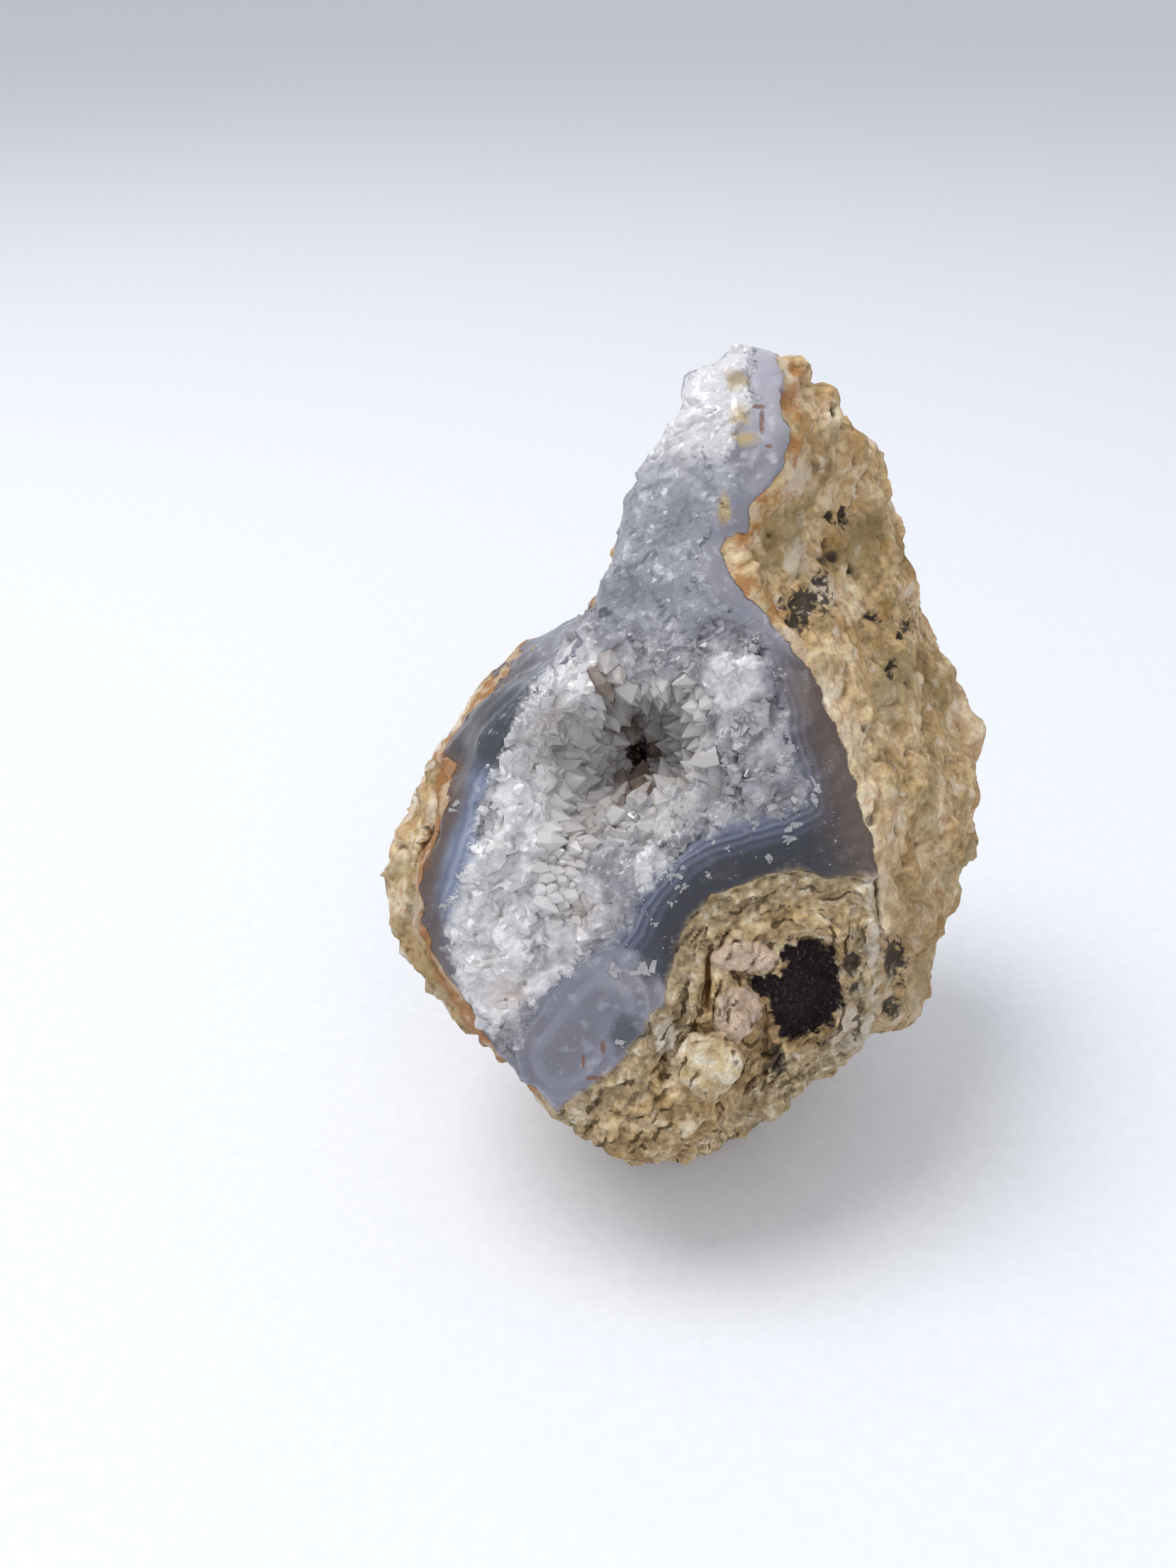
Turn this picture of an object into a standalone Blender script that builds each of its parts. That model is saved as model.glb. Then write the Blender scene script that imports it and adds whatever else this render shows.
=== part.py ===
"""Rough blue lace agate: a broken nodule standing on its small flat foot.

The stone is one piece. A tilted fracture face looks forward and up and shows the agate and its
hollow, and the rind wraps the right flank, the back and the left side. The quartz points that line
the hollow are one crust.

Millimetres are used in the tables and turned to metres when the meshes are made. X is to the
right, Y away from the viewer and Z up. The origin is on the flat foot, near its middle.
"""

import math

import bmesh
import bpy
import numpy as np
from mathutils import Vector, geometry, noise

MM = 0.001

# Driving sizes of the stone
HEIGHT = 80.0
SLICE_COUNT = 92
SLICE_CROWDING = 0.045
BELOW_FOOT = 1.2
FOOT_FADE = 5.0
UNDERSIDE_FADE = (3.0, 13.0)
PEAK_FADE = 6.0
TRIANGLES_KEPT = 7600

# The fracture face: a plane through the middle of the hollow, leaning back
FACE_POINT = np.array([-8.2, -9.0, 50.0])
FACE_LEAN = math.radians(25)
FACE_RIGHT = np.array([1.0, 0.0, 0.0])
FACE_UP = np.array([0.0, math.sin(FACE_LEAN), math.cos(FACE_LEAN)])
FACE_OUT = np.array([0.0, -math.cos(FACE_LEAN), math.sin(FACE_LEAN)])

# Edge lines that run up the stone, as (height, x, y), in order round the stone
EDGE_LINES = {
    "left_crest": [
        (0, -5.5, -4.5), (4, -6.5, -9.5), (8, -7, -15), (12, -7.8, -19.4), (16, -10.2, -21.4),
        (20, -14, -21.6), (24, -16.8, -20.4), (30, -21.6, -18), (35, -25.2, -15.8),
        (40, -26.6, -13.4), (45, -24.6, -11), (51, -20.6, -8.4), (56, -16.2, -6),
        (61.5, -11.6, -2.8), (65, -10.4, -0.5), (70, -8, 1.6), (74, -4.8, 3.6), (78, -2.4, 5.6),
        (80, 0.2, 7.4),
    ],
    "face_middle": [
        (0, 0.5, -6), (4, 0.5, -10.5), (8, -1, -15.5), (12, -2.4, -19.8), (16, -0.4, -21.8),
        (20, 3.4, -22.2), (25, 4, -20.8), (31, 2, -18), (40, -3, -13.8), (50, -4, -9), (60, -3, -4.2),
        (70, -2, 0.6), (78, 0.5, 4.8), (80, 1.6, 7.1),
    ],
    "right_ridge": [
        (0, 5.5, -3), (5, 5.5, -7.5), (10, 3.5, -12), (14.5, 4, -14.2), (18, 10.4, -12.8),
        (24, 14.2, -13.8), (30, 14.6, -15.2), (36, 14.2, -15.6), (43, 13.2, -12.2),
        (46.4, 11.8, -10.6), (51.4, 10, -8.2), (56, 7.6, -6), (60, 4.6, -4), (65, 1.6, -1.2),
        (68, 2.2, 0.4), (71, 4, 1.6), (75, 4.9, 3.6), (79, 4.2, 6.4), (80, 3, 7.4),
    ],
    "right_limb": [
        (0, 9, 2), (5, 13, 2.5), (10, 16, 2), (14, 18, 1), (17.4, 22.6, 0.4), (20.8, 26.4, 3.4),
        (24, 28, 6), (28.4, 27.8, 8.4), (34.6, 28.6, 12), (38.7, 28.8, 14), (44.5, 26.9, 16),
        (49, 24.8, 16.9), (55, 21.6, 17.4), (60.6, 17.9, 17.6), (65, 16.2, 17.2), (71.3, 14, 15.2),
        (74.4, 11.6, 13.4), (77.5, 7.6, 11.3), (80, 3.6, 8.8),
    ],
    "back_right": [
        (0, 7, 7), (6, 13, 12.5), (14, 18, 16.5), (24, 21, 20), (34, 23.5, 23.5), (44, 22.5, 26),
        (54, 17.5, 25), (63, 13, 22.5), (71, 9.5, 18.5), (77, 5, 13.4), (80, 2.8, 9.6),
    ],
    "back": [
        (0, 0, 10.5), (6, 0, 16.5), (14, -0.5, 20.5), (24, -1.5, 23), (34, -2, 25.5), (44, -1, 26),
        (54, 2, 25), (63, 3, 22), (71, 2.5, 17), (77, 1.5, 12.6), (80, 1.4, 9.6),
    ],
    "back_left": [
        (0, -6.5, 7), (6, -12, 10.5), (14, -16, 13.5), (24, -19, 15.5), (34, -21.5, 16.5),
        (41, -20.5, 16), (46, -15.5, 15.6), (51, -10.5, 15.2), (56, -8.2, 14.6), (63, -6.2, 13.2),
        (70, -3.8, 11.6), (77, -1.6, 10.2), (80, 0.4, 9.2),
    ],
    "left_limb": [
        (0, -8.5, 1), (6, -12.5, -3), (12, -15, -7.5), (18, -17, -10.6), (24, -20, -12.4),
        (28, -25.6, -12.2), (32, -30, -10), (36, -31.4, -7.6), (39.4, -30.2, -3.8),
        (43, -27.8, -0.4), (47.3, -23.4, 3), (50.4, -19.2, 4.6), (54, -14.8, 5),
        (57.5, -11.4, 4.6), (62, -9.6, 4.4), (66, -8.8, 4.8), (70.5, -6, 5.8), (75, -3.6, 6.8),
        (78.8, -1.6, 7.8), (80, 0, 8.3),
    ],
}

# Columns of vertices between neighbouring edge lines, and how far each span bows outwards as a
# share of its width
SPANS = [
    ("left_crest", "face_middle", 24, 0.0),
    ("face_middle", "right_ridge", 20, 0.02),
    ("right_ridge", "right_limb", 28, 0.04),
    ("right_limb", "back_right", 12, 0.10),
    ("back_right", "back", 14, 0.08),
    ("back", "back_left", 14, 0.08),
    ("back_left", "left_limb", 16, 0.08),
    ("left_limb", "left_crest", 14, 0.05),
]
FIRST_LEFT_SPAN = 6

# The edge between the agate and the lower matrix, in face coordinates (right, up)
MATRIX_EDGE = [
    (-8, -33.5), (-3.2, -28.6), (-0.5, -26.4), (1.4, -24), (3.1, -21.3), (3.8, -17.6),
    (5.2, -13.7), (8.9, -11.1), (14.4, -9.3), (21.4, -10),
]
LEDGE_SPACING = 3.0
LEDGE_DEPTH = 0.5
LEDGE_WANDER = (5.0, 1.6, 8.8)
MATRIX_STEP = 0.8
MATRIX_FADE = 1.5

# Noise patterns, as (size, height, seed). A seed shifts the pattern.
MATRIX_BLOCKS = [(5.5, 1.5, 7.7), (2.6, 0.6, 4.4)]
RIND_SWELL = (17.0, 1.3, 1.7)
RIND_LUMPS = [(8.5, 2.4, 3.1), (4.2, 1.5, 5.3), (2.0, 0.5, 6.6)]
SUGAR_GRAINS = (2.3, 1.7, 6.1)
FACE_WAVES = (9.0, 0.7, 2.3)

# Pits of the rind: size and seed of their pattern, the lump heights between which they open, depth
PIT_PATTERN = (6.0, 9.2)
PIT_EDGE = (0.2, 0.38)
PIT_DEPTH = 1.5

# Layers that show as low ridges on the left rind, and where on the left they fade in
LAYER_SPACING = 2.4
LAYER_HEIGHT = 0.45
LAYER_WANDER = (9.0, 1.0, 4.1)
LAYER_FADE = (12.0, 20.0)

# The sugary quartz: a line through its middle as (right, up, half width), and its soft edge
SUGAR_LINE = [
    (-9.5, -14.5, 5.0), (-4.0, -4.0, 9.5), (0.0, 6.0, 10.5), (2.5, 16.0, 6.0), (5.0, 30.0, 6.0),
]
SUGAR_FADE = 2.0

# How the relief fades: columns from the face's edges to full relief, the share of the rind's relief
# on those edges, and the rind's share and columns beside the right ridge
FACE_FADE_COLUMNS = 4
FACE_EDGE_SHARE = 0.3
RIDGE_SHARE = 0.4
RIDGE_FADE_COLUMNS = 6
PEAK_SHARE = 0.35
FEATURE_FLAT = 0.45

# Single lumps and pits on the face, as (right, up, radius, height)
FACE_FEATURES = [
    ("dark_clast_hollow", 14.2, -20.0, 6.2, -1.6),
    ("dark_clast", 14.6, -20.6, 4.0, 2.6),
    ("cream_knob", 7.2, -26.6, 3.4, 1.9),
    ("front_lobe", 0.5, -32.0, 7.5, 1.5),
    ("lobe_crease_top", 11.5, -25.2, 2.2, -1.5),
    ("lobe_crease_middle", 11.4, -27.6, 2.2, -1.7),
    ("lobe_crease_foot", 11.2, -30.0, 2.2, -1.7),
    ("agate_eye", -0.8, -22.5, 6.0, 0.8),
    ("neck_shoulder", 6.0, 20.0, 5.0, -0.9),
]

# The hollow, round an axis square to the face: its middle (right, up), and the radius of its rim at
# every 45 degrees from the right
HOLLOW_MIDDLE = (0.9, 0.6)
RIM_RADII = [7.9, 8.2, 7.8, 9.4, 11.8, 11.8, 9.6, 7.9]
# Radius as a share of the rim, and depth below the face
HOLLOW_PROFILE = [
    (0.0, 10.6), (0.34, 10.3), (0.5, 8.9), (0.6, 6.6), (0.69, 4.4), (0.79, 2.6), (0.89, 1.2),
    (1.0, 0.1),
]
CUTTER_FLARE = [(1.1, -2.5), (1.2, -8.0)]
CUTTER_COLUMNS = 28

# The druse of quartz points
POINT_SPACING = 2.5
POINT_TRIES = 3000
DRUSE_REACH = 0.95
SLOPE_STEP = 0.02
OUTER_REACH = 1.22
DRUSE_GAP = 0.3
DRUSE_BED = 0.7
BED_UNEVENNESS = 0.15
POINT_HEIGHT = (0.7, 1.9)
POINT_LEAN = 0.3
RANDOM_SEED = 41


def along(table, value):
    """Reads a table of (value, a, b, ...) rows at a value, with straight runs between rows."""
    rows = np.array(table, float)
    return np.array([np.interp(value, rows[:, 0], column) for column in rows[:, 1:].T])


def smooth_step(low, high, value):
    """0 below low, 1 above high, with a smooth change between them."""
    share = min(1.0, max(0.0, (value - low) / (high - low)))
    return share * share * (3 - 2 * share)


def bowed(start, end, share, bow):
    """A point between two plan points, pushed outwards by bow times the span."""
    chord = end - start
    outward = np.array([chord[1], -chord[0]])
    return start + chord * share + outward * bow * 4 * share * (1 - share)


def slice_points(height):
    """The outline of the stone at one height, anticlockwise seen from above."""
    points = []
    for first, last, count, bow in SPANS:
        start = along(EDGE_LINES[first], height)
        end = along(EDGE_LINES[last], height)
        points += [bowed(start, end, step / count, bow) for step in range(count)]
    return points


def slice_heights():
    """Heights of the slices, from just below the foot and closer together at both ends."""
    shares = np.linspace(0, 1, SLICE_COUNT)
    eased = shares - SLICE_CROWDING * np.sin(2 * math.pi * shares)
    return (HEIGHT + BELOW_FOOT) * eased - BELOW_FOOT


def face_coordinates(point):
    """How far a point is to the right, up and out on the fracture face."""
    offset = point - FACE_POINT
    return offset @ FACE_RIGHT, offset @ FACE_UP, offset @ FACE_OUT


def lumps(point, size, seed):
    """Rounded lumps with creases between them, from about -0.5 to 0.5."""
    place = Vector(point / size) + Vector((seed, 2 * seed, 3 * seed))
    distances, _ = noise.voronoi(place)
    return 0.5 - distances[0]


def lump_height(point, pattern):
    """Height of a pattern of lumps given as (size, height, seed)."""
    size, height, seed = pattern
    return height * lumps(point, size, seed)


def swell_height(point, pattern):
    """Height of a slow rise and fall given as (size, height, seed)."""
    size, height, seed = pattern
    return height * noise.noise(Vector(point / size) + Vector((seed, seed, seed)))


def rind_relief(point):
    """Lumpy weathered rind, with slow swells, knobs, pits and small grains."""
    relief = swell_height(point, RIND_SWELL)
    relief += sum(lump_height(point, pattern) for pattern in RIND_LUMPS)
    return relief - PIT_DEPTH * smooth_step(*PIT_EDGE, lumps(point, *PIT_PATTERN))


def matrix_relief(right, up, point):
    """Ledges that follow the agate's edge, with broken blocks between them."""
    below = np.interp(right, *np.array(MATRIX_EDGE).T) - up
    place = (below + swell_height(point, LEDGE_WANDER)) / LEDGE_SPACING
    ledges = LEDGE_DEPTH * (2 * (place % 1.0) - 1)
    blocks = sum(lump_height(point, pattern) for pattern in MATRIX_BLOCKS)
    return smooth_step(0.0, MATRIX_FADE, below) * (ledges + blocks - MATRIX_STEP)


def sugar_share(right, up):
    """1 on the sugary quartz and 0 on the smooth agate, from the nearest part of its line."""
    place = np.array([right, up])
    inside = -math.inf
    for first, last in zip(SUGAR_LINE, SUGAR_LINE[1:]):
        start = np.array(first[:2])
        run = np.array(last[:2]) - start
        share = min(1.0, max(0.0, (place - start) @ run / (run @ run)))
        half_width = first[2] + (last[2] - first[2]) * share
        inside = max(inside, half_width - np.linalg.norm(place - start - run * share))
    return smooth_step(-SUGAR_FADE, 0.0, inside)


def face_relief(right, up, point):
    """Sugary quartz round the hollow and up the neck, smooth agate near the rind."""
    relief = sugar_share(right, up) * lump_height(point, SUGAR_GRAINS)
    relief += swell_height(point, FACE_WAVES)
    for _, middle_right, middle_up, radius, height in FACE_FEATURES:
        distance = math.hypot(right - middle_right, up - middle_up) / radius
        relief += height * (1 - smooth_step(FEATURE_FLAT, 1.0, distance))
    return relief + matrix_relief(right, up, point)


def relief_at(point, column):
    """Height of the relief above the lofted form at a point, in millimetres."""
    right, up, _ = face_coordinates(point)
    face_end = SPANS[0][2] + SPANS[1][2]
    left_start = sum(span[2] for span in SPANS[:FIRST_LEFT_SPAN])
    if 0 < column < face_end:
        inside = min(1.0, min(column, face_end - column) / FACE_FADE_COLUMNS)
        relief = face_relief(right, up, point) * inside * smooth_step(*UNDERSIDE_FADE, point[2])
        relief += rind_relief(point) * (1 - inside) * FACE_EDGE_SHARE
    else:
        away = min(1.0, abs(face_end - column) / RIDGE_FADE_COLUMNS)
        relief = rind_relief(point) * (RIDGE_SHARE + (1 - RIDGE_SHARE) * away)
    if column >= left_start:
        layering = smooth_step(*LAYER_FADE, -point[0])
        relief += layering * LAYER_HEIGHT * math.sin(2 * math.pi * layer_place(point))
    relief *= smooth_step(0.0, FOOT_FADE, point[2])
    below_peak = smooth_step(0.0, PEAK_FADE, HEIGHT - point[2])
    return relief * (PEAK_SHARE + (1 - PEAK_SHARE) * below_peak)


def layer_place(point):
    """How many rind layers lie between a point of the left side and the fracture face."""
    _, _, out = face_coordinates(point)
    return (-out + swell_height(point, LAYER_WANDER)) / LAYER_SPACING


def material(name, colour, roughness, transmission=0.0):
    """A Principled material."""
    made = bpy.data.materials.new(name)
    made.use_nodes = True
    shader = made.node_tree.nodes["Principled BSDF"]
    shader.inputs["Base Color"].default_value = (*colour, 1.0)
    shader.inputs["Roughness"].default_value = roughness
    shader.inputs["Transmission Weight"].default_value = transmission
    shader.inputs["Metallic"].default_value = 0.0
    return made


def add_object(name, mesh_builder, finish):
    """Turns a filled bmesh, in millimetres, into a named object in metres."""
    bmesh.ops.scale(mesh_builder, vec=(MM, MM, MM), verts=mesh_builder.verts)
    bmesh.ops.recalc_face_normals(mesh_builder, faces=mesh_builder.faces)
    mesh = bpy.data.meshes.new(name)
    mesh_builder.to_mesh(mesh)
    mesh_builder.free()
    made = bpy.data.objects.new(name, mesh)
    bpy.context.scene.collection.objects.link(made)
    made.data.materials.append(finish)
    return made


def build_stone(finish):
    """The whole stone, lofted through its slices, given its relief and thinned to broad facets."""
    builder = bmesh.new()
    rings = []
    for height in slice_heights():
        points = slice_points(height)
        rings.append([builder.verts.new((p[0], p[1], height)) for p in points])
    for lower, upper in zip(rings, rings[1:]):
        count = len(lower)
        for column in range(count):
            after = (column + 1) % count
            builder.faces.new((lower[column], lower[after], upper[after], upper[column]))
    builder.normal_update()
    moves = []
    for ring in rings:
        for column, vertex in enumerate(ring):
            height = relief_at(np.array(vertex.co), column)
            moves.append((vertex, vertex.normal * height))
    for vertex, move in moves:
        vertex.co += move
    wall_triangles = 2 * len(builder.faces)
    base = builder.faces.new(list(reversed(rings[0])))
    peak = builder.faces.new(rings[-1])
    bmesh.ops.poke(builder, faces=[base, peak])
    stone = add_object("agate_stone", builder, finish)
    thin = stone.modifiers.new("broad facets", "DECIMATE")
    thin.ratio = TRIANGLES_KEPT / wall_triangles
    thin.use_collapse_triangulate = True
    return stone


def build_foot_cutter():
    """A block whose top is the level that the stone stands on."""
    builder = bmesh.new()
    bmesh.ops.create_cube(builder, size=HEIGHT)
    bmesh.ops.translate(builder, vec=(0, 0, -HEIGHT / 2), verts=builder.verts)
    return hide_cutter(add_object("foot_cutter", builder, None))


def hide_cutter(cutter):
    """Keeps a cutter out of the model."""
    cutter.hide_render = True
    cutter.display_type = "WIRE"
    return cutter


def rim_radius(angle):
    """Radius of the hollow's rim at an angle from the face's right."""
    share = (angle / (2 * math.pi)) % 1.0 * len(RIM_RADII)
    low = int(share) % len(RIM_RADII)
    part = smooth_step(0.0, 1.0, share - int(share))
    return RIM_RADII[low] * (1 - part) + RIM_RADII[(low + 1) % len(RIM_RADII)] * part


def hollow_point(angle, share, depth):
    """A point of the hollow's wall, from its share of the rim radius and its depth."""
    radius = rim_radius(angle) * share
    right = radius * math.cos(angle)
    up = radius * math.sin(angle)
    middle = FACE_POINT + FACE_RIGHT * HOLLOW_MIDDLE[0] + FACE_UP * HOLLOW_MIDDLE[1]
    return middle + FACE_RIGHT * right + FACE_UP * up - FACE_OUT * depth


def build_hollow_cutter():
    """The closed body that is cut from the stone to leave the hollow."""
    builder = bmesh.new()
    profile = HOLLOW_PROFILE[1:] + CUTTER_FLARE
    angles = [2 * math.pi * step / CUTTER_COLUMNS for step in range(CUTTER_COLUMNS)]
    rings = [[builder.verts.new(hollow_point(a, s, d)) for a in angles] for s, d in profile]
    for lower, upper in zip(rings, rings[1:]):
        for column in range(CUTTER_COLUMNS):
            after = (column + 1) % CUTTER_COLUMNS
            builder.faces.new((lower[column], lower[after], upper[after], upper[column]))
    bottom = builder.verts.new(hollow_point(0.0, *HOLLOW_PROFILE[0]))
    top = builder.verts.new(hollow_point(0.0, 0.0, CUTTER_FLARE[-1][1]))
    for column in range(CUTTER_COLUMNS):
        after = (column + 1) % CUTTER_COLUMNS
        builder.faces.new((rings[0][after], rings[0][column], bottom))
        builder.faces.new((rings[-1][column], rings[-1][after], top))
    return hide_cutter(add_object("hollow_cutter", builder, None))


def profile_by_length():
    """Rows of (share of the length along the wall, share of the rim radius, depth)."""
    mean_rim = sum(RIM_RADII) / len(RIM_RADII)
    rows = [(0.0, *HOLLOW_PROFILE[0])]
    for before, after in zip(HOLLOW_PROFILE, HOLLOW_PROFILE[1:]):
        step = math.hypot((after[0] - before[0]) * mean_rim, after[1] - before[1])
        rows.append((rows[-1][0] + step, *after))
    total = rows[-1][0]
    return [(length / total, share, depth) for length, share, depth in rows]


def wall_point(flat, profile, offset):
    """Maps a point of the unit disc onto the hollow's wall, offset into the open space."""
    reach = min(1.0, math.hypot(flat[0], flat[1])) * DRUSE_REACH
    angle = math.atan2(flat[1], flat[0])
    here = hollow_point(angle, *along(profile, reach))
    normal = wall_normal(angle, reach, profile)
    return here + normal * offset


def wall_normal(angle, reach, profile):
    """The wall's direction into the open space."""
    if reach < SLOPE_STEP:
        return FACE_OUT
    inner = hollow_point(angle, *along(profile, reach - SLOPE_STEP))
    outer = hollow_point(angle, *along(profile, reach + SLOPE_STEP))
    slope = outer - inner
    side = np.cross(FACE_OUT, slope)
    normal = np.cross(slope, side)
    return normal / np.linalg.norm(normal)


def druse_sites(profile):
    """Places of the quartz points on the unit disc, none nearer to another than POINT_SPACING."""
    picker = np.random.default_rng(RANDOM_SEED)
    flats = []
    places = []
    for _ in range(POINT_TRIES):
        reach = OUTER_REACH * math.sqrt(picker.uniform(0, 1))
        angle = picker.uniform(0, 2 * math.pi)
        place = hollow_point(angle, *along(profile, reach))
        place = place + FACE_OUT * max(0.0, reach - 1)
        spread = (place - hollow_point(0, 0, 0)) * max(1.0, reach)
        if all(np.linalg.norm(spread - other) > POINT_SPACING for other in places):
            flats.append(np.array([math.cos(angle), math.sin(angle)]) * reach)
            places.append(spread)
    return flats


def cells_of(flats):
    """For each site that has a full ring of triangles round it, those triangles in turn."""
    points = [Vector(flat) for flat in flats]
    _, _, triangles, origins, _, _ = geometry.delaunay_2d_cdt(points, [], [], 0, 1e-6)
    named = [tuple(sorted(triangle)) for triangle in triangles]
    around = {}
    for triangle in named:
        for corner in triangle:
            around.setdefault(corner, []).append(triangle)
    cells = {}
    for corner, owned in around.items():
        middle = flats[origins[corner][0]]
        if np.linalg.norm(middle) > 1.0:
            continue
        turn = {}
        for triangle in owned:
            offset = sum(flats[origins[other][0]] for other in triangle) / 3 - middle
            turn[triangle] = math.atan2(offset[1], offset[0])
        cells[origins[corner][0]] = [
            tuple(origins[other][0] for other in triangle) for triangle in sorted(owned, key=turn.get)
        ]
    return cells


def build_druse(finish):
    """The crust of quartz points: pyramids with flat faces side by side on a thin bed."""
    picker = np.random.default_rng(RANDOM_SEED + 1)
    profile = profile_by_length()
    flats = druse_sites(profile)
    builder = bmesh.new()
    front = {}
    behind = {}
    sides = {}
    for site, cell in sorted(cells_of(flats).items()):
        for triangle in cell:
            if triangle not in front:
                flat = sum(flats[corner] for corner in triangle) / 3
                bed = DRUSE_GAP + DRUSE_BED + picker.uniform(-BED_UNEVENNESS, BED_UNEVENNESS)
                front[triangle] = builder.verts.new(wall_point(flat, profile, bed))
                behind[triangle] = builder.verts.new(wall_point(flat, profile, DRUSE_GAP))
        tip_height = DRUSE_GAP + DRUSE_BED + picker.uniform(*POINT_HEIGHT)
        lean = (picker.uniform(-0.5, 0.5, 3) + FACE_OUT) * POINT_LEAN
        tip = builder.verts.new(wall_point(flats[site], profile, tip_height) + lean)
        foot = builder.verts.new(wall_point(flats[site], profile, DRUSE_GAP))
        for here, after in zip(cell, cell[1:] + cell[:1]):
            builder.faces.new((front[here], front[after], tip))
            builder.faces.new((behind[after], behind[here], foot))
            sides.setdefault(frozenset((here, after)), []).append((here, after))
    for uses in sides.values():
        if len(uses) == 1:
            here, after = uses[0]
            builder.faces.new((front[after], front[here], behind[here], behind[after]))
    bmesh.ops.triangulate(builder, faces=[face for face in builder.faces if len(face.verts) > 3])
    return add_object("druse_crust", builder, finish)


def cut_away(stone, cutter):
    """Cuts a cutter's body out of the stone."""
    cut = stone.modifiers.new(cutter.name, "BOOLEAN")
    cut.operation = "DIFFERENCE"
    cut.solver = "EXACT"
    cut.object = cutter


def main():
    """Builds the stone and its druse."""
    for old in list(bpy.data.objects):
        bpy.data.objects.remove(old)
    stone = build_stone(material("agate and rind", (0.42, 0.40, 0.38), 0.6))
    cut_away(stone, build_hollow_cutter())
    cut_away(stone, build_foot_cutter())
    build_druse(material("clear quartz", (0.75, 0.77, 0.80), 0.12, 0.5))


main()
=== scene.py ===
"""Rough blue lace agate: the looks of a broken nodule that stands on its small flat foot.

The stone is one natural body. A tilted fracture face shows the agate, the sugary quartz and the
hollow, and the rind wraps the right flank, the back and the left side. Lengths are in millimetres
while a shape is worked out, and in metres on the finished mesh. A place on the face is given as
(right, up) from the face's own middle, where the camera's sight line meets the face's plane.
"""

import itertools
import logging
import math
from collections.abc import Callable, Iterable
from dataclasses import dataclass, field
from enum import Enum
from typing import Self

import bpy
import numpy as np
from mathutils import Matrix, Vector


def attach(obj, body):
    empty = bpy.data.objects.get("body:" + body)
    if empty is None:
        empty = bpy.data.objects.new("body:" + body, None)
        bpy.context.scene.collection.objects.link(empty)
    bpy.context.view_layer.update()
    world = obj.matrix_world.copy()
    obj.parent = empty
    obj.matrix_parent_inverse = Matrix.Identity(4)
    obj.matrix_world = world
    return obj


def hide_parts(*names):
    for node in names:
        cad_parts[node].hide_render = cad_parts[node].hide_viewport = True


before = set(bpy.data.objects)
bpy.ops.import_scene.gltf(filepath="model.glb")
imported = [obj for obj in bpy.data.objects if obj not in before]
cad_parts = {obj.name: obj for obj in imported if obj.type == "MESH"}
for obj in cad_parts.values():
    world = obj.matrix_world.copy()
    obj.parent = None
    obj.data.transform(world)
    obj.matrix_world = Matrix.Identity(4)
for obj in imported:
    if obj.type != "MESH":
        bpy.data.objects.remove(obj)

MM = 0.001
SEED = 41

log = logging.getLogger("agate")

# right and up on the face
Place = tuple[float, float]
# an oval on the face: its middle's right and up, half its width and half its height
Patch = tuple[float, float, float, float]
# places and colours of a ramp
Stops = tuple[tuple[float, str], ...]


class Body(Enum):
    """The bodies that pieces ride on."""

    STONE = "root"


class Slot(Enum):
    """The record's material slots."""

    STONE = "agate_and_rind"
    QUARTZ = "quartz_points"


class Zone(Enum):
    """Measures kept on the meshes, in millimetres unless said otherwise."""

    RIND = "agate_inside_rind"
    SKIN = "stone_inside_rind"
    MATRIX = "matrix_below_agate"
    QUARTZ = "quartz_inside_edge"
    LACE = "agate_outside_quartz"
    EYE = "eye_radius"
    CLAST = "clast_inside_edge"
    KNOB = "knob_radius"
    HOLLOW = "hollow_depth"
    # how far a vertex lies below its neighbours, which the finish darkens as painted shade
    CAVITY = "cavity_depth"
    PIT = "pit_share"
    MILK = "milk_share"
    LEFT = "left_share"
    WEST = "left_of_hollow"
    UP = "face_height"
    SHADE = "grain_shade"
    YELLOW = "yellow_stain"
    RUST = "rust_stain"
    PINK = "pink_tint"
    CREAM = "cream_block"
    WHITE = "white_crust"
    DARK = "dark_patch"
    SLATE = "slate_patch"
    # the hole deep in the hollow, painted near black as shade
    HOLE = "hole_patch"
    BROWN = "brown_patch"


class Kind(Enum):
    """The node kinds that the finishes are made of."""

    PLACE = "ShaderNodeTexCoord"
    TURN = "ShaderNodeMapping"
    MEASURE = "ShaderNodeAttribute"
    NOISE = "ShaderNodeTexNoise"
    CELLS = "ShaderNodeTexVoronoi"
    RAMP = "ShaderNodeValToRGB"
    SPAN = "ShaderNodeMapRange"
    MATH = "ShaderNodeMath"
    VECTOR = "ShaderNodeVectorMath"
    MIX = "ShaderNodeMix"
    BUMP = "ShaderNodeBump"
    SHADER = "ShaderNodeBsdfPrincipled"
    OUTPUT = "ShaderNodeOutputMaterial"


def smooth_step(low: float, high: float, value: np.ndarray) -> np.ndarray:
    """0 on the low side and 1 on the high side, with a smooth change between them.

    Args:
        low: value where the change starts.
        high: value where it ends, which may be the smaller one.
        value: numbers to turn to shares.

    Returns:
        Shares from 0 to 1.
    """
    share = np.clip((value - low) / (high - low), 0.0, 1.0)
    return share * share * (3 - 2 * share)


def linear(hex_colour: str) -> tuple[float, float, float, float]:
    """Turns an sRGB hex colour to linear light.

    Args:
        hex_colour: such as "#8D97B2".

    Returns:
        Red, green, blue and an alpha of 1.
    """
    parts = [int(hex_colour[start:start + 2], 16) / 255 for start in (1, 3, 5)]
    return (*(p / 12.92 if p <= 0.04045 else ((p + 0.055) / 1.055) ** 2.4 for p in parts), 1.0)


def unit(vector: np.ndarray) -> np.ndarray:
    """The vector at length 1."""
    return vector / max(np.linalg.norm(vector), 1e-9)


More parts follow.
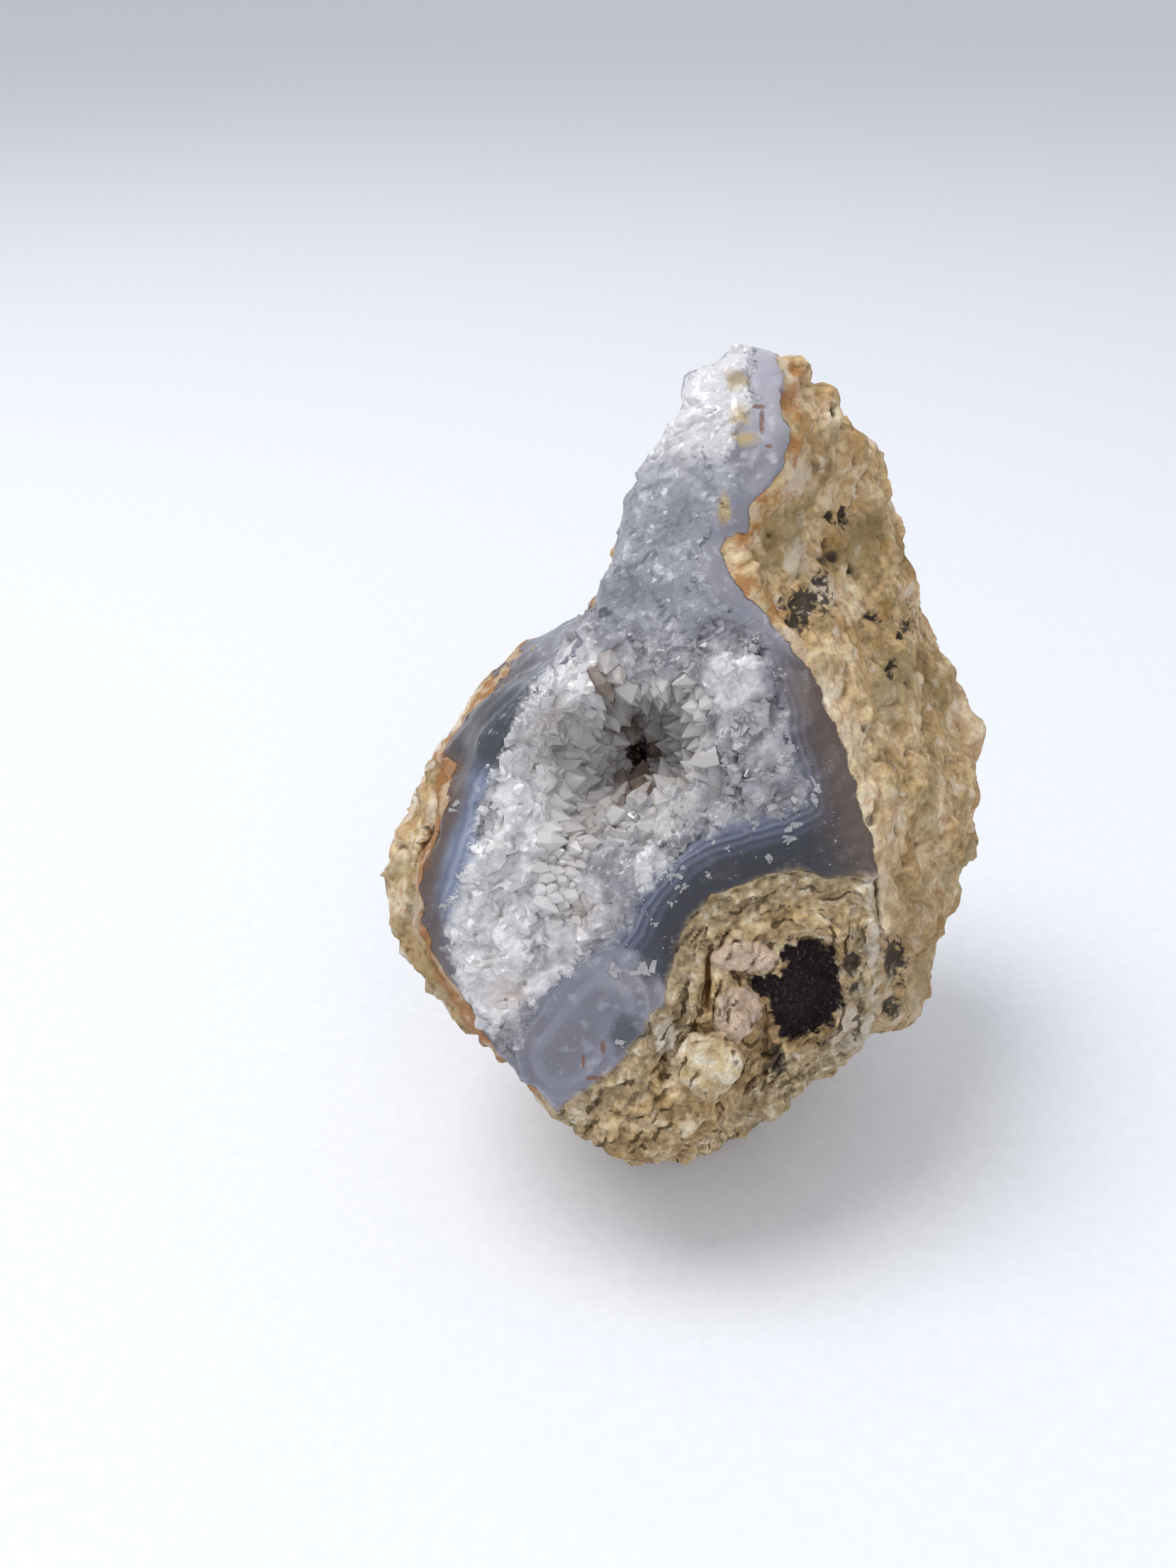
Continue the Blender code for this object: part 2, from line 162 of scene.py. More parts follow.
def hashed(cells: np.ndarray, salt: int) -> np.ndarray:
    """Repeatable chances for whole-number cells.

    Args:
        cells: (n, 3) whole numbers.
        salt: changes the draw.

    Returns:
        (n, 3) numbers from 0 to 1.
    """
    weights = np.array([73856093, 19349663, 83492791], np.uint64)
    key = (cells.astype(np.int64).astype(np.uint64) * weights).sum(axis=1)
    key = key + np.uint64(salt * 2654435761)
    chances = []
    for _ in range(3):
        key = (key ^ (key >> np.uint64(29))) * np.uint64(0xBF58476D1CE4E5B9)
        key = key ^ (key >> np.uint64(32))
        chances.append((key >> np.uint64(40)).astype(float) / 2 ** 24)
    return np.stack(chances, axis=1)


@dataclass(frozen=True)
class Cells:
    """What each point knows of the cell pattern round it, in millimetres."""

    near: np.ndarray
    second: np.ndarray
    offset: np.ndarray
    chance: np.ndarray

    @property
    def lump(self) -> np.ndarray:
        """Rounded lumps with creases between them, from about -0.5 to 0.5."""
        return 0.5 - (self.near / np.maximum(self.near + self.second, 1e-6) * 2) ** 2

    def facets(self, slope: float) -> np.ndarray:
        """Heights of one tilted flat facet in each cell."""
        tilt = self.chance - 0.5
        return (self.offset * tilt).sum(axis=1) * 2 * slope


def cell_pattern(points: np.ndarray, size: float, salt: int) -> Cells:
    """Finds the nearest cells of a jittered grid.

    Args:
        points: (n, 3) places in millimetres.
        size: cell width in millimetres.
        salt: changes the pattern.

    Returns:
        The cells at the points.
    """
    place = points / size
    home = np.floor(place).astype(np.int64)
    near = np.full(len(points), np.inf)
    second = near.copy()
    offset = np.zeros_like(place)
    chance = np.zeros_like(place)
    for shift in itertools.product((-1, 0, 1), repeat=3):
        cell = home + np.array(shift)
        away = place - cell - hashed(cell, salt)
        distance = np.linalg.norm(away, axis=1)
        closer = distance < near
        second = np.where(closer, near, np.minimum(second, distance))
        near = np.where(closer, distance, near)
        offset[closer] = away[closer]
        chance[closer] = hashed(cell[closer], salt + 1)
    return Cells(near * size, second * size, offset * size, chance)


def swell(points: np.ndarray, size: float, salt: int) -> np.ndarray:
    """Slow rise and fall made of a few waves.

    Args:
        points: (n, 3) places in millimetres.
        size: mean wavelength in millimetres.
        salt: changes the waves.

    Returns:
        Numbers from about -1 to 1.
    """
    picker = np.random.default_rng(salt)
    waves = 10
    total = np.zeros(len(points))
    for _ in range(waves):
        way = unit(picker.normal(size=3)) * 2 * math.pi / size * picker.uniform(0.6, 1.6)
        total += np.sin(points @ way + picker.uniform(0, 2 * math.pi))
    return total / math.sqrt(waves) / 1.3


@dataclass(frozen=True)
class Lumps:
    """A layer of rounded lumps with creases between them."""

    size: float
    height: float
    salt: int

    def over(self, points: np.ndarray) -> np.ndarray:
        """How high the lumps stand at the points."""
        return self.height * cell_pattern(points, self.size, self.salt).lump


@dataclass(frozen=True)
class Waves:
    """A layer of slow waves."""

    size: float
    height: float
    salt: int

    def over(self, points: np.ndarray) -> np.ndarray:
        """How high the waves stand at the points."""
        return self.height * swell(points, self.size, self.salt)


@dataclass(frozen=True)
class Breaks:
    """A layer of flat breaks, each tilted and raised in its own way."""

    size: float
    slope: float
    step: float
    salt: int
    draw: int = 1

    def over(self, points: np.ndarray) -> np.ndarray:
        """How high the breaks stand at the points."""
        cells = cell_pattern(points, self.size, self.salt)
        return cells.facets(self.slope) + self.step * (cells.chance[:, self.draw] - 0.5)


@dataclass(frozen=True)
class Swelling:
    """A round rise of the stone, or a dip where its height is negative."""

    place: tuple[float, float, float]
    radius: float
    height: float

    def over(self, points: np.ndarray) -> np.ndarray:
        """How high the swelling stands at the points."""
        away = np.linalg.norm(points - self.place, axis=1)
        return self.height * smooth_step(self.radius, 0.0, away)


def stacked(layers: Iterable[Lumps | Waves | Breaks | Swelling], points: np.ndarray) -> np.ndarray:
    """The heights of some layers of relief together."""
    return sum(layer.over(points) for layer in layers)


def signed_distance(places: np.ndarray, outline: Iterable[Place]) -> np.ndarray:
    """Distance to a closed outline, positive inside it.

    Args:
        places: (n, 2) places.
        outline: corners in turn.

    Returns:
        One distance for each place.
    """
    corners = np.array(outline, float)
    nearest = np.full(len(places), np.inf)
    inside = np.zeros(len(places), bool)
    for start, end in zip(corners, np.roll(corners, -1, axis=0)):
        side = end - start
        away = places - start
        share = np.clip(away @ side / (side @ side), 0.0, 1.0)
        nearest = np.minimum(nearest, np.linalg.norm(away - share[:, None] * side, axis=1))
        if start[1] != end[1]:
            spans = (places[:, 1] < start[1]) != (places[:, 1] < end[1])
            crossing = start[0] + (places[:, 1] - start[1]) / side[1] * side[0]
            inside ^= spans & (places[:, 0] < crossing)
    return np.where(inside, nearest, -nearest)


def patched(places: np.ndarray, patches: Iterable[Patch]) -> np.ndarray:
    """How far places lie inside the nearest of some oval patches.

    Args:
        places: (n, 2) places.
        patches: middles with half widths and half heights.

    Returns:
        1 in a patch's middle, 0 at its edge, and less outside.
    """
    inside = np.full(len(places), -3.0)
    for right, up, wide, tall in patches:
        away = np.hypot((places[:, 0] - right) / wide, (places[:, 1] - up) / tall)
        inside = np.maximum(inside, 1 - away)
    return inside


@dataclass(frozen=True)
class Face:
    """The plane of the fracture face, and the fixed place from which its zones are laid out."""

    point: tuple[float, float, float] = (-8.2, -9.0, 50.0)
    lean: float = math.radians(25)
    eye: tuple[float, float, float] = (-11.8, -106.5, 109.9)

    @property
    def axes(self) -> np.ndarray:
        """Rows that point right, up and out of the face."""
        sine, cosine = math.sin(self.lean), math.cos(self.lean)
        return np.array([(1, 0, 0), (0, sine, cosine), (0, -cosine, sine)], float)

    def flat(self, points: np.ndarray) -> np.ndarray:
        """How far points are to the right, up and out on the face."""
        return (points - np.array(self.point)) @ self.axes.T

    def seen(self, points: np.ndarray) -> np.ndarray:
        """Where sight lines through the points meet the face, as right and up.

        Args:
            points: (n, 3) places in millimetres.

        Returns:
            (n, 2) places on the face.
        """
        eye = np.array(self.eye)
        out = self.axes[2]
        reach = (np.array(self.point) - eye) @ out / ((points - eye) @ out)
        return self.flat(eye + (points - eye) * reach[:, None])[:, :2]


FACE = Face()


@dataclass(frozen=True)
class Hollow:
    """The open hollow, round an axis square to the face."""

    middle: Place = (0.9, 0.6)
    rim: tuple[float, ...] = (7.9, 8.2, 7.8, 9.4, 11.8, 11.8, 9.6, 7.9)
    depth: float = 10.6
    slack: float = 2.5

    def reach(self, flat: np.ndarray) -> np.ndarray:
        """Distance from the axis as a share of the rim's radius in that direction.

        Args:
            flat: (n, 3) face coordinates.

        Returns:
            0 on the axis and 1 under the rim.
        """
        away = flat[:, :2] - np.array(self.middle)
        angle = np.arctan2(away[:, 1], away[:, 0]) % (2 * math.pi)
        steps = np.linspace(0, 2 * math.pi, len(self.rim) + 1)
        radius = np.interp(angle, steps, (*self.rim, self.rim[0]))
        return np.linalg.norm(away, axis=1) / radius


HOLLOW = Hollow()


@dataclass(frozen=True)
class Outlines:
    """Edges of the zones on the fracture face, as (right, up) in millimetres."""

    skin_edge: tuple[Place, ...] = (
        (-40, 40), (9, 40), (11.8, 33.5), (12.5, 31.7), (12.3, 29.3), (13, 27.6), (12.8, 25.7),
        (11.8, 23.3), (9.7, 21.4), (9.7, 19.3), (7.9, 18.6), (7.4, 17.7), (8.2, 16.1), (9.3, 14.2),
        (12.6, 10.7), (14.2, 8.9), (15.5, 7), (16.6, 4.5), (18.1, 1.5), (19.7, -4), (21, -7.4),
    )
    matrix_edge: tuple[Place, ...] = (
        (21.3, -9.8), (17, -10.1), (14.4, -9.3), (11.6, -9.9), (8.9, -11.1), (7.2, -11.6),
        (5.2, -13.7), (4.4, -15.2), (3.8, -17.6), (3.3, -19.2), (3.1, -21.3), (1.8, -22.2),
        (1.4, -24), (0, -25.2), (-0.5, -26.4), (-3.2, -28.6), (-5.6, -30.2), (-8, -33.5),
    )
    matrix_side: tuple[Place, ...] = (
        (-12, -45), (16, -45), (12.3, -31.5), (13.6, -29.8), (15.8, -28.8), (19, -26.9),
        (21.3, -24.5), (21.9, -19.4), (21.9, -15.2),
    )
    quartz: tuple[Place, ...] = (
        (-3.2, 12.6), (-4.6, 11), (-6, 9.4), (-7.8, 6.7), (-9.1, 4.8), (-10.7, 0.9), (-12.4, -2.4),
        (-13.1, -5.5), (-14.2, -9.2), (-15.2, -12), (-15.8, -15.7), (-15.3, -19.5), (-13.4, -22.7),
        (-11.6, -25.1), (-10.3, -25.6), (-8.8, -21.9), (-6.5, -18.8), (-4.2, -17), (-1.7, -16.2),
        (-0.1, -14.5), (0.6, -12.5), (2, -10.6), (4, -8.1), (6.4, -6.6), (9.8, -5.4), (13.1, -4.6),
        (15.1, -3.7), (14.6, -0.8), (13.5, 2.1), (13.3, 4.5), (12.4, 6.9), (11.4, 9.3), (10, 11.2),
        (8.1, 12.6), (6.7, 14), (5.6, 16.1), (6.4, 18.7), (7.6, 21), (8.7, 23.3), (8.7, 25.6),
        (9.1, 27.9), (9.8, 30.1), (9.7, 33.5), (9, 40), (-20, 40), (-20, 12.6),
    )
    opening: tuple[Place, ...] = (
        (-2, 7.2), (-0.9, 6.8), (1, 6.6), (2.8, 6.1), (4.4, 7.2), (5.5, 4.6), (7.3, 3.6),
        (6.6, 1.1), (4.9, -1.3), (2.6, -2.9), (-0.5, -2.8), (-1.6, -4.6), (-4.2, -2.9),
        (-3.6, -0.1), (-3.1, 3),
    )
    druse: tuple[Place, ...] = (
        (-2, 8.4), (-1, 7.4), (0.8, 6.8), (2.8, 7), (4.4, 6.9), (5.6, 5.4), (6.8, 3.6), (6.3, 0.8),
        (5.2, -1), (2.9, -2), (2.1, -3), (-0.5, -3.2), (-1.8, -5.2), (-3.2, -7), (-4.6, -10.8),
        (-4.4, -12.4), (-6.4, -14.6), (-8, -12.2), (-7.6, -9.6), (-7, -7), (-6.6, -3.4),
        (-5.6, -0.6), (-4.6, 2.1), (-3.8, 4.4), (-2.8, 7),
    )
    clast: tuple[Place, ...] = (
        (13.5, -16), (15.5, -15.7), (17.7, -16.7), (18.3, -19.5), (18.8, -21.9), (16.6, -23.5),
        (14.8, -24.3), (12.5, -23.7), (11.5, -20.7), (9.8, -19), (11.1, -18.5), (13.6, -18),
    )
    crest: tuple[Place, ...] = (
        (-36.2, 0.9), (-31.5, -6.3), (-26, -11.4), (-22.1, -13.8), (-17, -16.8), (-13.9, -17.6),
        (-10.7, -18.1), (-7.6, -17.5), (-5.1, -16.3), (-2.6, -14.9), (1, -12.8), (4.8, -9.1),
        (9.4, -6), (12.6, -3.2), (19.8, -1.6), (26.7, 2.9), (33.5, 8.2),
    )

    @property
    def agate(self) -> tuple[Place, ...]:
        """The quartz and the agate together."""
        return (*self.skin_edge, *self.matrix_edge, (-40, -33.5))

    @property
    def skin(self) -> tuple[Place, ...]:
        """All that the rind wraps, with the matrix."""
        return (*self.skin_edge, (21.3, -9.8), (21.9, -19.4), (21.3, -45), (-40, -45))

    @property
    def matrix(self) -> tuple[Place, ...]:
        """The lower matrix."""
        return (*self.matrix_edge, *self.matrix_side)


OUTLINES = Outlines()

# spots of stain, tint, crust and dark colour on the face, and the hollow's hole, which is painted
# near black as shade
PATCHES: dict[Zone, tuple[Patch, ...]] = {
    Zone.YELLOW: (
        (8.6, 31.4, 1.3, 0.9), (8.8, 28.7, 1.2, 1.1), (9.3, 26.8, 1.3, 0.8), (7.7, 21.1, 0.7, 1.7),
    ),
    Zone.RUST: (
        (10.7, 28.2, 0.25, 1.3), (10.4, 29.4, 0.7, 0.2), (11.3, 26.2, 0.4, 0.25),
        (12.8, 30.1, 0.9, 1.3), (-2.3, -25.1, 0.3, 0.8), (-4.0, -26.4, 0.2, 0.9),
        (-3.0, -27.9, 0.9, 0.25), (-10.7, -20.7, 0.3, 0.25), (6.8, -19.4, 0.3, 3.4),
        (-16.2, -0.8, 0.7, 2.6), (-17.6, -7.5, 0.7, 2.6),
    ),
    Zone.PINK: ((-6.8, 3.9, 1.6, 1.6), (-10.6, -20.2, 2.6, 2.0), (-4.2, -13.2, 1.4, 2.2)),
    Zone.CREAM: ((9.4, -21.9, 2.1, 2.5), (9.9, -17.0, 3.1, 1.5)),
    Zone.WHITE: (
        (3.2, -24.0, 1.3, 1.9), (-15.8, 1.4, 1.7, 3.4), (16.6, 14.6, 1.8, 1.4),
        (13.8, 17.3, 1.2, 1.6), (14.2, 24.0, 1.0, 2.0), (-18.5, -12.0, 1.0, 4.0),
    ),
    Zone.DARK: (
        (12.8, -26.2, 1.1, 1.7), (22.9, -17.2, 0.9, 2.6), (22.8, -21.6, 0.8, 1.2),
        (19.2, -17.6, 0.9, 1.2), (19.6, -20.0, 0.5, 0.8), (17.9, 20.5, 0.7, 0.9),
        (16.6, 20.4, 0.5, 0.7), (16.1, 15.5, 0.8, 0.9), (14.9, 13.6, 2.0, 1.3),
        (14.2, 12.0, 1.2, 1.0), (20.8, 12.4, 0.8, 0.5), (23.5, 11.9, 0.6, 0.8),
        (22.6, 10.6, 0.4, 0.4), (19.0, 16.4, 0.4, 0.4), (22.1, 8.0, 0.4, 1.2),
    ),
    Zone.SLATE: ((-0.2, -24.0, 1.9, 2.2), (2.0, -17.5, 1.4, 2.4)),
    Zone.HOLE: ((0.6, 0.8, 1.3, 2.1),),
    Zone.BROWN: (
        (0.5, -1.7, 1.8, 1.1), (-0.4, 3.6, 1.5, 1.6), (1.9, 1.0, 0.9, 1.0), (-1.9, 6.6, 0.8, 1.5),
    ),
}

# where the quartz is white instead of clear
MILKY: tuple[Patch, ...] = (
    (-6.2, 4.8, 3.8, 7.6), (-9.6, -2.6, 4.0, 6.0), (-12.0, -14.0, 3.6, 8.5),
    (4.4, 30.4, 5.2, 4.8), (8.4, 6.8, 2.2, 2.2), (2.0, -9.6, 1.6, 2.2), (-6.4, -20.0, 3.0, 2.0),
    (-5.6, -13.0, 3.4, 3.4),
)


@dataclass
class StoneFields:
    """Measures of every vertex of the stone against its zones."""

    points: np.ndarray
    normals: np.ndarray
    far: float = 5.0
    deep: float = 6.0
    seen_least: float = 0.3
    chalcedony_depth: float = 5.2
    shoulder_depth: float = 3.2
    shoulder_width: float = 2.7
    eye_ends: tuple[Place, Place] = ((-2.3, -21.5), (-5.8, -26.0))
    knob_middle: Place = (6.7, -26.7)

    def __post_init__(self) -> None:
        """Measures the zones."""
        self.flat = FACE.flat(self.points)
        self.seen = FACE.seen(self.points)
        out = self.flat[:, 2]
        sight = np.array(FACE.eye) - self.points
        sight /= np.linalg.norm(sight, axis=1)[:, None]
        self.in_sight = smooth_step(-0.05, 0.15, (self.normals * sight).sum(axis=1))
        self.in_hollow = (HOLLOW.reach(self.flat) < 1.0) & (out > -HOLLOW.depth - HOLLOW.slack)
        facing = smooth_step(-0.1, 0.2, self.normals @ FACE.axes[2])
        self.front = np.where(self.in_hollow, 1.0, facing)
        self._edges(out)
        self.opening = signed_distance(self.flat[:, :2], OUTLINES.opening)
        self.druse = signed_distance(self.seen, OUTLINES.druse)
        start, end = np.array(self.eye_ends)
        side = end - start
        share = np.clip((self.seen - start) @ side / (side @ side), 0.0, 1.0)
        self.eye = np.linalg.norm(self.seen - start - share[:, None] * side, axis=1)
        self.knob = np.linalg.norm(self.seen - np.array(self.knob_middle), axis=1)
        self.hollow_depth = np.where(self.in_hollow, -out, 0.0)
        self.west = smooth_step(-6.0, -9.0, self.seen[:, 0])
        drift = 2.0 * swell(self.points, 9.0, 17)
        self.left = smooth_step(8.0, 16.0, drift - self.points[:, 0]) * (1 - self.front)
        self.left *= smooth_step(15.0, 1.0, self.points[:, 1] + drift)
        hidden = self.in_sight < 0.2
        self.patches = {
            zone: np.where(hidden, -3.0, patched(self.seen, patches))
            for zone, patches in PATCHES.items()
        }
        milky = smooth_step(-0.35, 0.25, patched(self.seen, MILKY))
        self.milk = np.clip(milky + 0.25 * swell(self.points, 3.0, 16), 0.0, 1.0)

    def _edges(self, out: np.ndarray) -> None:
        """Measures how far each vertex lies inside the edges of the zones.

        Args:
            out: heights above the face's plane.
        """
        right, up = self.seen.T
        wobble = stacked((Waves(4.0, 0.5, 11), Waves(1.6, 0.25, 12)), self.points)
        beyond = right - np.interp(up, *np.array(OUTLINES.crest).T)
        upper = smooth_step(-4.0, 3.0, up)
        thick = self.shoulder_depth * upper * smooth_step(-3.0, -8.0, right)
        depth = out + self.chalcedony_depth + thick + wobble
        left = upper * depth + (1 - upper) * (beyond + 0.5 * np.minimum(0.0, out + 1))
        side = np.minimum(left, depth)
        quartz = signed_distance(self.seen, OUTLINES.quartz)
        shoulder = (self.in_sight > self.seen_least) & (out > -18) & (right < -3) & (up > -3)
        near = self.shoulder_width + quartz + 0.6 * wobble
        side = np.maximum(side, np.where(shoulder, near, -2 * self.far))
        agate = np.minimum(signed_distance(self.seen, OUTLINES.agate), side) + 0.35 * wobble
        self.rind = np.where(self.in_hollow, self.deep, agate)
        skin = np.minimum(signed_distance(self.seen, OUTLINES.skin), side) + 0.35 * wobble
        self.skin = np.where(self.in_hollow, self.deep, skin)
        below = signed_distance(self.seen, OUTLINES.matrix) + 0.35 * wobble
        self.matrix = np.where(self.front > 0.5, below, -2 * self.far)
        clast = signed_distance(self.seen, OUTLINES.clast) + 0.5 * wobble
        self.clast = np.where(self.front > 0.2, clast, -self.far)
        self.lace = np.where(self.in_hollow, -self.far, -quartz)
        rough = 0.9 * (cell_pattern(self.points, 1.1, 13).chance[:, 0] - 0.5)
        self.quartz = np.where(self.front > 0.3, quartz + rough, -self.far)
        self.quartz[self.in_hollow] = self.far


def read_points(piece: bpy.types.Object) -> np.ndarray:
    """The vertices of a piece, in millimetres.

    Args:
        piece: the object.

    Returns:
        (n, 3) places.
    """
    values = np.empty(len(piece.data.vertices) * 3)
    piece.data.vertices.foreach_get("co", values)
    return values.reshape(-1, 3) / MM


def read_normals(piece: bpy.types.Object) -> np.ndarray:
    """The vertex normals of a piece.

    Args:
        piece: the object.

    Returns:
        (n, 3) directions.
    """
    values = np.empty(len(piece.data.vertices) * 3)
    piece.data.vertex_normals.foreach_get("vector", values)
    return values.reshape(-1, 3)


def write_points(piece: bpy.types.Object, points: np.ndarray) -> None:
    """Moves the vertices of a piece to places in millimetres."""
    piece.data.vertices.foreach_set("co", (points * MM).ravel())
    piece.data.update()


def keep_measure(piece: bpy.types.Object, zone: Zone, numbers: np.ndarray) -> None:
    """Stores one number a vertex on a piece, for its material to read."""
    stored = piece.data.attributes.new(zone.value, "FLOAT", "POINT")
    stored.data.foreach_set("value", numbers.astype(np.float32))


def pick_only(piece: bpy.types.Object) -> None:
    """Selects one piece and makes it active."""
    bpy.ops.object.select_all(action="DESELECT")
    piece.select_set(True)
    bpy.context.view_layer.objects.active = piece


def apply_modifier(piece: bpy.types.Object, kind: str, **settings: object) -> None:
    """Adds a modifier to a piece and applies it.

    Args:
        piece: the object.
        kind: the modifier's type.
        settings: its values.
    """
    pick_only(piece)
    made = piece.modifiers.new(kind.lower(), kind)
    for name, value in settings.items():
        setattr(made, name, value)
    bpy.ops.object.modifier_apply(modifier=made.name)


def report(piece: bpy.types.Object) -> None:
    """Logs how many triangles a piece has."""
    count = sum(len(face.vertices) - 2 for face in piece.data.polygons)
    log.info("%s: %d triangles", piece.name, count)


@dataclass
class StoneBody:
    """The whole stone: agate, quartz ground, matrix and rind in one closed mesh."""

    voxel: float = 0.845
    broad_rounds: int = 5
    weld: float = 0.001
    swellings: tuple[Swelling, ...] = (
        Swelling((24.0, -0.5, 17.0), 7.5, 2.6), Swelling((20.0, -4.5, 15.5), 5.0, 2.0),
        Swelling((7.5, 12.0, 77.0), 5.5, 1.1), Swelling((-3.0, 8.0, 77.4), 2.8, 1.5),
        Swelling((-5.0, 7.2, 72.3), 3.0, -1.2), Swelling((-20.5, 7.5, 50.0), 6.0, 0.6),
        Swelling((28.0, 13.5, 39.5), 5.0, 1.3), Swelling((26.5, 15.5, 46.5), 4.0, -1.2),
        Swelling((28.0, 9.0, 30.5), 6.0, -0.8),
    )
    quartz_layers: tuple[Waves | Breaks, ...] = (
        Breaks(2.9, 0.42, 0.3, 21), Waves(6.0, 0.35, 22), Breaks(1.2, 0.22, 0.06, 23, draw=2),
    )
    agate_layers: tuple[Waves, ...] = (Waves(7.0, 0.14, 31), Waves(2.2, 0.05, 32))
    matrix_blocks: Lumps = Lumps(3.2, 0.8, 42)
    matrix_lumps: Lumps = Lumps(1.5, 0.5, 43)
    matrix_grain: Lumps = Lumps(0.75, 0.16, 46)
    clast_layers: tuple[Lumps, ...] = (Lumps(0.8, 0.16, 47), Lumps(2.0, 0.3, 48))
    matrix_patches: tuple[tuple[Zone, float, float], ...] = (
        (Zone.CREAM, 0.25, 0.7), (Zone.WHITE, 0.4, 0.35), (Zone.RUST, 0.5, -0.9),
        (Zone.DARK, 0.5, -0.4),
    )
    rind_patches: tuple[tuple[Zone, float, float], ...] = (
        (Zone.DARK, 0.6, -0.7), (Zone.RUST, 0.6, -0.5),
    )
    ledge_width: float = 1.5
    ledge_height: float = 0.75
    knob_height: float = 0.9
    crease_depth: float = 1.1
    creases: tuple[Patch, ...] = (
        (11.7, -26.0, 0.5, 5.6), (6.0, -23.4, 2.8, 0.6), (3.2, -27.0, 0.6, 3.4),
    )
    rind_knobs: Lumps = Lumps(5.2, 1.35, 51)
    rind_lumps: Lumps = Lumps(2.8, 0.5, 52)
    rind_layers: tuple[Lumps | Waves, ...] = (Waves(8.0, 0.45, 55), Lumps(1.2, 0.12, 53))
    pit_spacing: float = 4.2
    pit_depth: float = 0.9
    pitted: float = 0.45
    layer_width: float = 1.3
    layer_height: float = 0.5
    lip_reach: float = 0.78
    cavity_rounds: int = 8
    made: bpy.types.Object = field(init=False)
    fields: StoneFields = field(init=False)
    relief: np.ndarray = field(init=False)
    pit: np.ndarray = field(init=False)

    def build(self) -> bpy.types.Object:
        """Builds and dresses the stone.

        Returns:
            The finished piece.
        """
        self._start()
        self._soften()
        self._refine(lambda kept: kept.in_sight > 0.3)
        self._refine(lambda kept: (kept.front > 0.5) & (
            (kept.rind > -1.2) & (kept.quartz < 0.6) | (kept.matrix > -0.5)
        ))
        self._carve()
        self._keep_measures()
        self._shade()
        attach(self.made, Body.STONE.value)
        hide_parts("agate_stone")
        return self.made

    def tints_and_hole_shade(self, index: int) -> dict[str, float]:
        """The tints, and the hole's painted shade, that a crystal at a vertex takes on, by zone
        name.
        """
        zones = (Zone.PINK, Zone.YELLOW, Zone.HOLE, Zone.BROWN)
        return {zone.name: self.fields.patches[zone][index] for zone in zones}

    def ground(self) -> tuple[StoneFields, np.ndarray, np.ndarray]:
        """What the quartz grows on: the zones, the carved vertices and their normals."""
        return self.fields, read_points(self.made), read_normals(self.made)

    def measure(self) -> StoneFields:
        """Measures the mesh as it is now."""
        return StoneFields(read_points(self.made), read_normals(self.made))

    def _start(self) -> None:
        """Copies the solid's mesh, merges it and gives it an even net of faces."""
        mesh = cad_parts["agate_stone"].data.copy()
        mesh.name = "agate_body"
        self.made = bpy.data.objects.new("agate_body", mesh)
        bpy.context.scene.collection.objects.link(self.made)
        pick_only(self.made)
        bpy.ops.object.mode_set(mode="EDIT")
        bpy.ops.mesh.select_all(action="SELECT")
        bpy.ops.mesh.remove_doubles(threshold=self.weld * MM)
        bpy.ops.object.mode_set(mode="OBJECT")
        apply_modifier(self.made, "REMESH", mode="VOXEL", voxel_size=self.voxel * MM)

    def _soften(self) -> None:
        """Rounds off the broad facets, most of all on the smooth agate."""
        kept = self.measure()
        smooth = smooth_step(0.0, 2.0, kept.rind) * (1 - smooth_step(-1.0, 0.5, kept.quartz))
        above_foot = smooth_step(0.0, 4.0, kept.points[:, 2])
        weights = np.clip(0.15 + 0.85 * smooth * kept.front, 0.0, 1.0) * above_foot
        group = self.made.vertex_groups.new(name="softened")
        for index, weight in enumerate(weights):
            group.add([index], float(weight), "REPLACE")
        apply_modifier(
            self.made, "SMOOTH", factor=0.5, iterations=self.broad_rounds, vertex_group=group.name
        )

    def _refine(self, wanted: Callable[[StoneFields], np.ndarray]) -> None:
        """Splits the faces of a zone and rounds the new net.

        Args:
            wanted: tells from the measures which vertices lie in the zone.
        """
        chosen = wanted(self.measure())
        mesh = self.made.data
        pick_only(self.made)
        bpy.ops.object.mode_set(mode="EDIT")
        bpy.ops.mesh.select_mode(type="FACE")
        bpy.ops.mesh.select_all(action="DESELECT")
        bpy.ops.object.mode_set(mode="OBJECT")
        mesh.polygons.foreach_set(
            "select", [bool(chosen[list(face.vertices)].all()) for face in mesh.polygons]
        )
        bpy.ops.object.mode_set(mode="EDIT")
        bpy.ops.mesh.subdivide(number_cuts=1, quadcorner="INNERVERT")
        bpy.ops.mesh.vertices_smooth(factor=0.5, repeat=2)
        bpy.ops.object.mode_set(mode="OBJECT")

    def _carve(self) -> None:
        """Gives every zone its relief."""
        kept = self.measure()
        relief = self._quartz_relief(kept) + self._agate_relief(kept)
        relief += self._matrix_relief(kept) + self._rind_relief(kept)
        relief += stacked(self.swellings, kept.points)
        relief *= smooth_step(0.0, 2.5, kept.points[:, 2])
        lift = self._lip_lift(kept)
        moved = kept.points + kept.normals * relief[:, None] + FACE.axes[2] * lift[:, None]
        moved[:, 2] = np.maximum(moved[:, 2], 0.0)
        write_points(self.made, moved)
        self.fields = kept
        self.relief = relief

